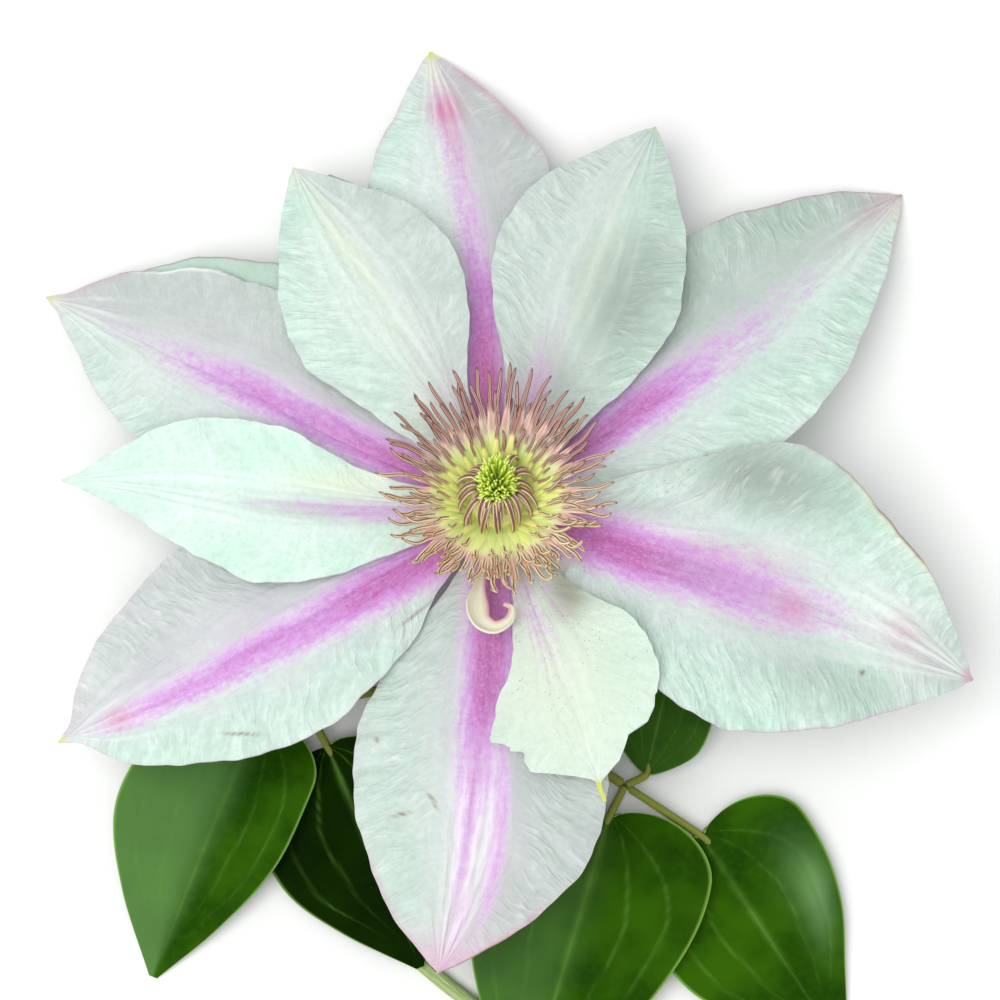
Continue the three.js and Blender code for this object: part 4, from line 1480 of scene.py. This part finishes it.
@dataclass
class Stamens:
    """The boss of stamens: leaning ones by a rule with a fixed seed, and claws round the pistil.

    Attributes:
        whorls: the outer, the middle, the lower and the upper leaning stamens.
        claws: how many inner stamens bend outwards.
        seed: sets the small differences between them.
        root_height: where they stand on the ring.
        ring: radius and height round the section of the ring.
        anther_start: the share of a leaning stamen where its anther begins.
        strand, claw_strand: the stamens that are copied.
    """

    name: str = "stamens"
    slot: Slot = Slot.STAMEN
    whorls: tuple[Whorl, ...] = (
        Whorl(104, 0, -360, 12.6, 10.4), Whorl(26, -55, 290, 10.6, 4.4, 9), Whorl(46, -172, 164, 16.5, 6.5),
        Whorl(26, 4, 172, 16, 8.2),
    )
    claws: int = 26
    seed: int = 71
    root_height: float = 4.2
    anther_start: float = 0.66
    ring: tuple[Pair, ...] = (
        (2.3, 3.2), (4.6, 3.2), (5.6, 5.6), (4.8, 6.6), (3.2, 6.6), (3, 5), (2.3, 4.9), (2.3, 3.2),
    )
    strand: Strand = field(default_factory=lambda: Strand(
        "stamen", 10, 30,
        (0.55, 0.9, 1.15, 1.2, 1.12, 0.98, 0.8, 0.62, 0.45, 0.39, 0.37, 0.34, 0.22),
        (0.3, 0.2, 0.16, 0.15, 0.15, 0.15, 0.16, 0.2, 0.28, 0.3, 0.3, 0.29, 0.2),
        (0, 0, 0, 0, 0, 0, 0, 0.2, 0.5, 0.5, 0.4, 0.2, 0),
    ))
    claw_strand: Strand = field(default_factory=lambda: Strand(
        "claw", 10, 30,
        (0.6, 0.7, 0.7, 0.66, 0.62, 0.58, 0.56, 0.55, 0.54, 0.53, 0.5, 0.44, 0.12),
        (0.3, 0.25, 0.2, 0.2, 0.22, 0.26, 0.32, 0.38, 0.42, 0.42, 0.4, 0.34, 0.1),
        (0, 0, 0, 0, 0, 0.2, 0.4, 0.5, 0.5, 0.5, 0.4, 0.2, 0),
    ))

    def build(self) -> Piece:
        """Models every stamen and the ring that they stand on.

        Returns:
            The finished piece.
        """
        chance = np.random.default_rng(self.seed)
        self.strand.build()
        self.claw_strand.build()
        sheets = []
        for whorl in self.whorls:
            for number in range(whorl.count):
                azimuth = math.radians(whorl.first + whorl.spread * (number * GOLDEN_SHARE % 1))
                reach = whorl.reach + whorl.more * (number + 0.5) / whorl.count
                sheets.append(self.leaning(azimuth, reach, whorl.upright, chance))
        sheets += [self.claw(number, chance) for number in range(self.claws)]
        self.strand.drop()
        self.claw_strand.drop()
        return fuse(self.name, [*sheets, self.root_ring()], 70)

    def leaning(self, azimuth: float, reach: float, upright: float, chance: np.random.Generator) -> Sheet:
        """Models one stamen that leans outwards, its filament in the bowl and its anther bent up.

        Args:
            azimuth: its direction round the flower.
            reach: the radius of its tip.
            upright: by how many degrees its filament stands steeper.
            chance: the source of small differences.

        Returns:
            The stamen.
        """
        azimuth = azimuth + 0.06 * (chance.random() - 0.5)
        upward = math.sin(azimuth)
        front, back = max(-upward, 0), max(upward, 0)
        reach = max(reach + 0.8 * (chance.random() - 0.5), 8.8 + 4.6 * front) * (1 - 0.04 * front**2)
        lean = (reach - 6.5) / (23.5 - 6.5)
        root = 3.5 + 0.7 * lean
        along, start = self.strand.along, self.anther_start
        steep = 74 - 22 * front
        low = 46 - 22 * lean + 10 * back * lean - 12 * front + upright
        end = min(38 + 54 * front + 44 * (chance.random() - 0.5) - 6 * back, 108)
        late = np.clip((along - start) / (1 - start), 0, 1)
        early = np.clip(along / start, 0, 1)
        angle = np.radians(steep + (low - steep) * early**0.45 + (end - low) * late**1.5)
        order = np.argsort(along, kind="stable")
        step = np.diff(along[order], prepend=0.0)
        out, climb = np.empty_like(along), np.empty_like(along)
        out[order] = np.cumsum(np.cos(angle[order]) * step)
        climb[order] = np.cumsum(np.sin(angle[order]) * step)
        size = min((reach - root) / np.max(out), 24.5)
        wave = (0.4 + 0.6 * chance.random()) * (1 - 0.55 * back) * late
        wave = wave * np.sin(late * (3.0 + 3.0 * chance.random()) + 6.28 * chance.random())
        turn = azimuth + 0.22 * (chance.random() - 0.5) * along**2
        radius = root + size * out
        path = around(radius, turn, self.root_height + size * climb) + wave[:, None] * sideways(azimuth)
        size = (0.92 + 0.2 * chance.random()) * (0.76 if upright else 1)
        turning = 10.2 - 2.4 * back
        ripeness = soft_step(turning, turning + 4.5, radius) * soft_step(0.28, 0.56, along)
        warmth = float(np.clip(0.5 + 0.8 * upward + 0.5 * (chance.random() - 0.5), 0, 1))
        sheet = self.strand.copy_along(path, sideways(azimuth), size)
        anther = soft_step(start - 0.03, start + 0.03, along)
        sheet.mark(anther=anther, ripen=ripeness, warm=warmth, core=0.26)
        return sheet

    def claw(self, number: int, chance: np.random.Generator) -> Sheet:
        """Models one inner stamen that bends outwards over the boss, those in front more densely.

        Args:
            number: its place in the row.
            chance: the source of its random draws.

        Returns:
            The sheet, to be joined with the others.
        """
        share = 2 * (number + 0.5 * chance.random()) / self.claws - 1
        off_front = math.pi * share * (0.72 + 0.28 * abs(share))
        azimuth = off_front - math.pi / 2
        along = self.claw_strand.along
        size = (0.84 + 0.26 * chance.random()) * (1 - 0.12 * abs(share))
        radius = size * smooth_at((3.6, 3.6, 3.7, 4.4, 6, 7.7, 8.4), along)
        height = smooth_at((4.2, 8.2, 11.8, 14.2, 14, 11.4, 7.8), along) + 2.0 * (chance.random() - 0.5)
        drawn = 0.3 * math.sin(off_front) + 0.4 * (chance.random() - 0.5)
        path = around(radius, azimuth - drawn * along**2, height)
        sheet = self.claw_strand.copy_along(path, sideways(azimuth), 0.92 + 0.16 * chance.random())
        sheet.mark(anther=soft_step(0.44, 0.5, along), ripen=0, warm=0.1 + 0.3 * chance.random(), core=0.52)
        return sheet

    def root_ring(self) -> Sheet:
        """Models the low ring that the filaments stand on.

        Returns:
            The sheet, to be joined with the others.
        """
        sheet = Sheet("ring", 48, len(self.ring) - 1)
        stations = np.linspace(0, 1, len(self.ring))
        radius, height = (np.interp(sheet.along, stations, values) for values in zip(*self.ring))
        sheet.lay(PLACE.to_row(around(radius, sheet.turn, height)))
        sheet.chart("strand", sheet.across, sheet.along * 0.4)
        sheet.mark(anther=0, ripen=0, warm=0, core=0)
        return sheet


@dataclass
class Pistil:
    """The tuft of fine styles on its dome.

    Attributes:
        count, seed: how many styles there are, and what sets the small differences between them.
        opening: how far over the outermost styles lean, in degrees.
        squeeze: how much narrower and deeper the tuft is than a round one.
        dome: radii and heights of the dome.
        strand: the style that is copied.
    """

    name: str = "pistil"
    slot: Slot = Slot.PISTIL
    count: int = 330
    seed: int = 23
    opening: float = 116.0
    squeeze: Point = (0.9, 1.1, 1)
    dome: tuple[Pair, ...] = (
        (0, 5.3), (2.4, 5.3), (2.7, 7.5), (2.8, 10.2), (2.6, 12.8), (1.7, 15.2), (0, 16.4),
    )
    strand: Strand = field(
        default_factory=lambda: Strand("style", 6, 10, *[(0.3, 0.28, 0.26, 0.24, 0.22, 0.12)] * 2)
    )

    def build(self) -> Piece:
        """Models the styles and the dome.

        Returns:
            The finished piece.
        """
        chance = np.random.default_rng(self.seed)
        self.strand.build()
        sheets = [self.style(number, chance) for number in range(self.count)]
        self.strand.drop()
        return fuse(self.name, [*sheets, self.dome_sheet()], 70)

    def style(self, number: int, chance: np.random.Generator) -> Sheet:
        """Models one style, more bent the further out it stands.

        Args:
            number: its place in the row.
            chance: the source of its random draws.

        Returns:
            The sheet, to be joined with the others.
        """
        spread = self.opening * math.sqrt((number + 0.5) / self.count)
        spread = math.radians(spread + 8 * (chance.random() - 0.5))
        azimuth = number * GOLDEN_ANGLE
        sin, cos = math.sin(spread), math.cos(spread)
        lift = math.copysign(abs(cos) ** 0.75, cos)
        bulge = sin**0.6
        root = around(2.0 * sin, azimuth, 11.2 + 4.4 * cos)
        middle = around(3.5 * bulge, azimuth, 13.8 + 5.2 * lift)
        length = 0.88 + 0.16 * chance.random()
        stray = around(1.1 * chance.random(), 2 * math.pi * chance.random(), 0)
        tip = around(4.1 * bulge * length, azimuth, 14.2 + 7.2 * lift * length - 1.2 * sin) + stray
        along = self.strand.along
        late = np.clip((along - 0.7) / 0.3, 0, 1)
        hook = 0.9 * chance.random() * sin * late**2
        hook = hook[:, None] * around(1, azimuth + 3 * (chance.random() - 0.5), -0.5)
        path = (bezier(root, middle, tip, along) + hook) * np.array(self.squeeze)
        return self.strand.copy_along(path, sideways(azimuth), 0.85 + 0.3 * chance.random())

    def dome_sheet(self) -> Sheet:
        """Models the dome under the styles.

        Returns:
            The sheet, to be joined with the others.
        """
        sheet = Sheet("dome", 32, 24)
        radius, height = (smooth_at(values, sheet.along) for values in zip(*self.dome))
        radius = sheet.closed(np.maximum(radius, 0)) * (1 + 0.04 * np.cos(9 * sheet.turn))
        sheet.lay(PLACE.to_row(around(radius, sheet.turn, height)))
        sheet.chart("strand", sheet.across, sheet.along * 0.3)
        return sheet


@dataclass
class PetaloidStamen:
    """The curled cream blade that grew from one stamen."""

    name: str = "petaloid_stamen"
    slot: Slot = Slot.PETALOID
    midline: tuple[Point, ...] = (
        (-0.9, -4.95, 3.5), (-2.0, -10, 4.1), (-3.2, -16.5, 5), (-3.7, -21, 5.6), (-2.9, -24.4, 6.2),
        (-0.4, -26, 7), (2.2, -24.8, 7.8), (2.7, -22.6, 8.4), (1.3, -21.8, 8.6),
    )
    half_widths: Widths = (0.5, 0.55, 0.9, 1.95, 1.65, 1.15, 0.78, 0.42, 0.2)
    thickness: float = 0.45
    trough: float = 1.1

    def build(self) -> Piece:
        """Models the curl.

        Returns:
            The finished piece.
        """
        sheet = Sheet(self.name + FINE, 16, 80)
        ahead = course(self.midline, sheet.along, 0.01)
        aside = unit(np.stack([-ahead[:, 1], ahead[:, 0], np.zeros(len(ahead))], axis=-1))
        half = smooth_at(self.half_widths, sheet.along)
        points = curve(self.midline, sheet.along) + aside * (sheet.across * half)[:, None]
        points[:, 2] += self.trough * sheet.across**2 * half / 2
        sheet.lay(PLACE.to_row(points))
        sheet.chart("veins", sheet.across, sheet.along * 30)
        sheet.thicken(self.thickness)
        return shaded()


def on_surface(points: Array) -> Array:
    """Moves points measured from the flower's middle to the row's frame, none of them under the surface.

    Args:
        points: x, y and z of each point, in mm.

    Returns:
        The moved points.
    """
    points = PLACE.ground(points)
    points[:, 2] = np.maximum(points[:, 2], 0)
    return points


@dataclass
class Tube:
    """A round stalk through points of the row's frame that lie relative to the flower's middle."""

    name: str
    route: tuple[Point, ...]
    radii: Widths
    sides: int
    rows: int
    ribs: int = 0
    rib_depth: float = 0.0

    def build(self) -> Sheet:
        """Models the stalk, closed at both ends and flat where it lies on the surface.

        Returns:
            The sheet, to be joined with the others.
        """
        sheet = Sheet(self.name, self.sides, self.rows)
        turn = sheet.turn
        ahead = unit(course(self.route, sheet.along, 0.5 / self.rows))
        aside = unit(np.cross(ahead, np.array([0.35, 0.15, 1.0])))
        up = np.cross(aside, ahead)
        ribbed = 1 + self.rib_depth * np.cos(self.ribs * turn)
        radius = sheet.closed(smooth_at(self.radii, sheet.along) * ribbed)
        ring = np.cos(turn)[:, None] * aside + np.sin(turn)[:, None] * up
        sheet.lay(on_surface(curve(self.route, sheet.along) + radius[:, None] * ring))
        length = float(np.sum(np.linalg.norm(np.diff(np.asarray(self.route), axis=0), axis=1)))
        sheet.chart("strand", sheet.across, sheet.along * length)
        return sheet


@dataclass
class Stem:
    """The cut stem with the receptacle at its top and the node that bears the leaves.

    Attributes:
        receptacle: radii and heights of the seat of the flower.
        bend, lying: the stem's route down from the flower, and along the surface to its cut end.
        node_place, node_radius: where the node lies, and its size.
        radii, ribs, rib_depth: the stem's radii, and how many ribs of which share of them it has.
    """

    name: str = "stem"
    slot: Slot = Slot.STEM
    receptacle: tuple[Pair, ...] = (
        (0, -4.8), (1.5, -4.8), (3.2, -2.4), (4.2, -1.2), (4.3, 0.8), (4.2, 2.9), (1.9, 2.9), (1.7, 5),
        (0, 5),
    )
    lying: tuple[Point, ...] = (
        (-9, -28, 1.2), (-12, -42, 1.2), (-17, -58, 1.2), (-20, -70, 1.2), (-18, -79, 1.2), (-11, -86, 1.2),
        (-3, -92, 1.2),
    )
    bend: tuple[Point, ...] = ((0, -2.6, 12.5), (-2, -7, 6), (-5, -15, 2.2))
    node_place: Point = (-9, -28, 1.7)
    node_radius: float = 2.6
    radii: Widths = (1.7, 1.55, 1.5, 1.5, 1.5, 1.5, 1.45)
    ribs: int = 8
    rib_depth: float = 0.05

    def build(self) -> Piece:
        """Models the stem as one piece.

        Returns:
            The finished piece.
        """
        top = PLACE.to_row(np.array([0.0, 0, -2.4])) - PLACE.ground(np.zeros(3))
        route = (tuple(top), *self.bend, *self.lying)
        stalk = Tube("stalk", route, self.radii, 24, 220, self.ribs, self.rib_depth).build()
        stalk.mark(brown=soft_step(0.988, 0.998, stalk.along))
        return fuse(self.name, [stalk, self.receptacle_sheet(), self.node_sheet()])

    def receptacle_sheet(self) -> Sheet:
        """Models the seat that the sepals and stamens stand on.

        Returns:
            The sheet, to be joined with the others.
        """
        sheet = Sheet("receptacle", 40, 32)
        stations = np.linspace(0, 1, len(self.receptacle))
        radius, height = (np.interp(sheet.along, stations, values) for values in zip(*self.receptacle))
        sheet.lay(PLACE.to_row(around(sheet.closed(radius), sheet.turn, height)))
        sheet.chart("strand", sheet.across, sheet.along * 12)
        sheet.mark(brown=0)
        return sheet

    def node_sheet(self) -> Sheet:
        """Models the swollen node.

        Returns:
            The sheet, to be joined with the others.
        """
        sheet = Sheet("node", 28, 20)
        slope = math.pi * (sheet.along - 0.5)
        radius = sheet.closed(self.node_radius * np.cos(slope) * (1 + 0.05 * np.cos(5 * sheet.turn)))
        points = around(radius, sheet.turn, self.node_radius * np.sin(slope))
        sheet.lay(on_surface(points + np.array(self.node_place)))
        sheet.chart("strand", sheet.across, sheet.along * 5)
        sheet.mark(brown=0.35)
        return sheet


@dataclass
class Leaflet:
    """One leaflet: its outline and rise at even places along it, in mm.

    Attributes:
        base, heading, length: where its base lies, the direction of its tip in degrees, and its length.
        left, right, rise: half widths and heights at even places.
        lobe: how far its base reaches back on each side of the stalk.
        fold, roll: how far its margins rise together, and its left margin alone.
        tone, pale: how much painted shade darkens it, and how much a painted sheen lightens its left and
            right halves.
        gloss: where its shine lies along and across it, and how strong it is; there a painted highlight
            lightens the colour.
    """

    base: Pair
    heading: float
    length: float
    left: Widths
    right: Widths
    rise: Widths
    lobe: float
    fold: float
    roll: float
    tone: float = 0.0
    pale: Pair = (0, 0)
    gloss: Point = (0.5, 0, 0)
    end_half_width: float = 0.8
    round_base: float = 0.2
    thickness: float = 0.5
    columns: int = 60
    rows: int = 84
    crowding: float = 1.4

    def lay_out(self, across: Array, step: Array) -> tuple[Array, Array, Array]:
        """Works out where places on the leaflet lie.

        Args:
            across: from -1 at the right margin to 1 at the left one.
            step: from 0 at the base to 1 at the tip, in even rows.

        Returns:
            Points relative to the flower's middle, mm forward and mm left of the midrib.
        """
        cos, sin = math.cos(math.radians(self.heading)), math.sin(math.radians(self.heading))
        along = step**self.crowding
        reach = np.abs(across)
        rounded = np.sin(math.pi / 2 * np.minimum(along / self.round_base, 1)) ** 0.6
        forward = self.length * along - self.lobe * reach**2 * (1 - along) ** 4 * rounded
        left, right = (smooth_at((*widths, self.end_half_width), along) for widths in (self.left, self.right))
        aside = across * np.maximum(np.where(across > 0, left, right) * rounded, self.end_half_width)
        spread = np.sin(math.pi * np.minimum(along + 0.15, 1))
        height = smooth_at(self.rise, along) + (self.fold * reach + self.roll * across) * spread
        quilt = 0.16 * np.sin(0.42 * forward + 0.2 * aside) * np.sin(0.36 * aside - 0.1 * forward)
        swelling = np.sin(math.pi * np.clip(along, 0, 1)) ** 0.6
        height = height + swelling * (quilt - 0.14 * self.vein_cover(across, along))
        x = self.base[0] + cos * forward - sin * aside
        y = self.base[1] + sin * forward + cos * aside
        return np.stack([x, y, height], axis=-1), forward, aside

    def vein_cover(self, across: Array, along: Array) -> Array:
        """How near each place is to the midrib or to one of the side veins.

        Args:
            across: places across, from -1 at the right margin to 1 at the left one.
            along: places along, from 0 at the base to 1 at the tip.

        Returns:
            The strength at each place.
        """
        veins = hump(across, 0, 0.02 + 0.02 * (1 - along))
        for place in (0.4, 0.76):
            run = place * np.sin(math.pi * np.clip(along * 0.9 + 0.08, 0, 1)) ** 0.55
            run = run + 0.02 * np.sin(19 * along + 3 * place)
            veins = np.maximum(veins, 0.6 * hump(np.abs(across), run, 0.015) * soft_step(0.9, 0.6, along))
        return veins

    def build(self, name: str) -> Sheet:
        """Models the leaflet's blade.

        Args:
            name: the sheet's name.

        Returns:
            The sheet, to be joined with the others.
        """
        sheet = Sheet(name, self.columns, self.rows)
        across, along = sheet.across, sheet.along**self.crowding
        points, forward, aside = self.lay_out(across, sheet.along)
        sheet.lay(PLACE.ground(points))
        sheet.chart("strand", across, sheet.along)
        sheet.chart("span", aside, forward + self.heading)
        shine = hump(along, self.gloss[0], 0.16) * hump(across, self.gloss[1], 0.22)
        sheet.mark(
            vein=self.vein_cover(across, along), rim=0.7 * soft_step(0.965, 1, np.abs(across)), stalk=0,
            # painted shade, painted sheen and the painted highlight at the shine
            tone=self.tone, pale=halves(self.pale, across), gloss=self.gloss[2] * shine,
        )
        sheet.thicken(self.thickness)
        return sheet

    def point(self, step: float) -> Point:
        """A point of the midrib, relative to the flower's middle."""
        return tuple(self.lay_out(np.array([0.0]), np.array([step]))[0][0])


@dataclass
class Leaf:
    """A leaf: a stalk with three leaflets on short stalks of their own.

    Attributes:
        name: the node that it stands for.
        bend, junction: where its stalk bends, and where the leaflets' stalks leave it.
        leaflets, slot: its leaflets, and its finish.
        stem: the stem whose node bears it.
        seat, stalk_start_height: how far from the node's middle, and how high, its stalk begins.
    """

    name: str
    bend: Point
    junction: Point
    leaflets: tuple[Leaflet, ...]
    slot: Slot = Slot.LEAF
    stem: Stem = field(default_factory=Stem)
    stalk_start_height: float = 2.0
    seat: float = 2.9
    stalk_radii: Widths = (1.045, 0.95, 0.95)
    small_radii: Widths = (0.75, 0.75, 0.4)

    def build(self) -> Piece:
        """Models the leaf as one piece.

        Returns:
            The finished piece.
        """
        node = np.array(self.stem.node_place[:2])
        start = (*(node + self.seat * unit(np.array(self.bend[:2]) - node)), self.stalk_start_height)
        sheets = [self.stalk(Tube("stalk", (start, self.bend, self.junction), self.stalk_radii, 14, 40))]
        for number, leaflet in enumerate(self.leaflets):
            sheets.append(leaflet.build(f"{self.name}_blade_{number}"))
            route = (self.junction, leaflet.point(0), leaflet.point(5 / leaflet.length))
            sheets.append(self.stalk(Tube("small_stalk", route, self.small_radii, 12, 24)))
        return fuse(self.name, sheets)

    def stalk(self, tube: Tube) -> Sheet:
        """Models a stalk and stores its markings.

        Args:
            tube: the stalk's tube.

        Returns:
            The sheet, to be joined with the others.
        """
        sheet = tube.build()
        sheet.chart("span", np.zeros(len(sheet.along)), sheet.along * 20)
        sheet.mark(vein=0, rim=0, tone=0, pale=0, gloss=0, stalk=1)
        return sheet


LEAVES = (
    Leaf("leaf_left", (-24, -31, 2.8), (-37, -34, 4), (
        Leaflet(
            (-45.5, -36.5), -112, 53, (14, 15, 14, 8.5), (14, 18, 19, 12), (4.8, 6, 5.2, 3, 0.36), 5, 0.8,
            0.6, pale=(0, 0.5),
        ),
        Leaflet(
            (-32.5, -42), -67, 46, (10, 13, 13, 8), (13, 18.5, 18, 11), (3.8, 4.6, 4.8, 4.6, 4.2), 4, 0, 2.4,
            # painted shade: this leaflet lies in the flower's shadow
            tone=0.85,
        ),
        Leaflet((-42, -29), 154, 30, (6, 9, 9, 5.5), (6, 9, 9, 5.5), (4, 5.4, 6, 5, 3.6), 2, 1, 0),
    )),
    Leaf("leaf_right", (9, -39, 3), (24.5, -49.5, 4), (
        Leaflet(
            (21.5, -55.5), -107, 62, (19, 22.5, 18, 9), (17, 20, 18.5, 10), (4.6, 5.4, 5, 3.2, 0.36), 12, 0.8,
            -0.4, tone=0.1, pale=(0, 0.26),
        ),
        Leaflet(
            (39, -59), -57, 49, (17, 19, 16, 8.5), (16, 19, 18, 10), (2.6, 2.4, 1.8, 1.2, 0.36), 9, 0.8, 0,
            # painted highlight where this leaflet shines
            gloss=(0.42, 0.7, 0.9),
        ),
        Leaflet(
            (28.5, -47.5), 76, 34, (4.5, 8.5, 8.5, 5), (5.5, 9.5, 9.5, 5.5), (4.2, 5.4, 6, 5.4, 4.2), 0.5,
            1, 0, tone=0.1, pale=(0.1, 0.1),
        ),
    )),
)


@dataclass
class Studio:
    """A plain pale floor, soft light and the camera at the photograph's angle; lengths are in mm."""

    elevation: float = math.radians(76)
    distance: float = 700.0
    view_width: float = 190.0
    aim_right: float = 0.57
    aim_up: float = 2.28
    sensor: float = 36.0
    floor_side: float = 4000.0
    sky: tuple[float, ...] = (0.97, 0.985, 1, 1)
    sky_strength: float = 0.7
    key_watts: float = 11.5
    key_side: float = 1100.0
    key_place: Point = (-350.0, -300.0, 1150)
    key_aim: Point = (0, 0, 10)

    def build(self, effects: Effects) -> None:
        """Sets the whole stage.

        Args:
            effects: the shared node groups.
        """
        self.camera()
        self.floor(effects)
        self.lights()

    def hang(self, data: bpy.types.ID, place: Vector, ahead: Vector) -> Piece:
        """Places a camera or a lamp at a point in mm, looking ahead.

        Args:
            data: the camera or the lamp.
            place: where it stands.
            ahead: the way that it looks.

        Returns:
            Its object.
        """
        thing = bpy.data.objects.new(data.name, data)
        bpy.context.collection.objects.link(thing)
        thing.location = place * MM
        thing.rotation_euler = ahead.to_track_quat("-Z", "Y").to_euler()
        return thing

    def camera(self) -> None:
        """Places the camera."""
        ahead = Vector((0, math.cos(self.elevation), -math.sin(self.elevation)))
        up = Vector((0, math.sin(self.elevation), math.cos(self.elevation)))
        target = Vector((PLACE.right + self.aim_right, PLACE.back, PLACE.height)) + up * self.aim_up
        data = bpy.data.cameras.new("camera")
        data.sensor_width = self.sensor
        data.lens = self.sensor * self.distance / self.view_width
        data.clip_start = 10 * MM
        bpy.context.scene.camera = self.hang(data, target - ahead * self.distance, ahead)

    def floor(self, effects: Effects) -> None:
        """Lays the floor.

        Args:
            effects: the shared node groups.
        """
        select()
        bpy.ops.mesh.primitive_plane_add(size=self.floor_side * MM, location=(0, 0, 0))
        floor = bpy.context.object
        floor.name = "floor"
        floor.data.materials.append(FloorFinish().material(effects))

    def lights(self) -> None:
        """Hangs a wide key light and lights the room evenly."""
        world = bpy.context.scene.world or bpy.data.worlds.new("room")
        bpy.context.scene.world = world
        world.use_nodes = True
        background = next(node for node in world.node_tree.nodes if node.type == "BACKGROUND")
        background.inputs["Color"].default_value = self.sky
        background.inputs["Strength"].default_value = self.sky_strength
        data = bpy.data.lights.new("key", "AREA")
        data.energy = self.key_watts
        data.shape = "DISK"
        data.size = self.key_side * MM
        self.hang(data, Vector(self.key_place), Vector(self.key_aim) - Vector(self.key_place))
        bpy.context.scene.view_settings.view_transform = "Standard"


def main() -> None:
    """Builds the stage and the whole flower, and reports each piece."""
    logging.basicConfig(level=logging.INFO, format="%(name)s %(message)s")
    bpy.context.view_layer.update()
    select()
    effects = Effects()
    Studio().build(effects)
    finishes = {
        Slot.SEPAL_WHITE: SepalFinish("white sepal finish"),
        Slot.SEPAL_STRIPED: SepalFinish("striped sepal finish"),
        Slot.STAMEN: StamenFinish(), Slot.PISTIL: StyleFinish(), Slot.PETALOID: PetaloidFinish(),
        Slot.STEM: StemFinish(), Slot.LEAF: LeafFinish(),
    }
    materials = {slot: finish.material(effects) for slot, finish in finishes.items()}
    for part in (*SEPALS, Stamens(), Pistil(), PetaloidStamen(), Stem(), *LEAVES):
        hand_over(part.build(), part.name, part.slot, materials[part.slot])


if __name__ == "__main__":
    main()
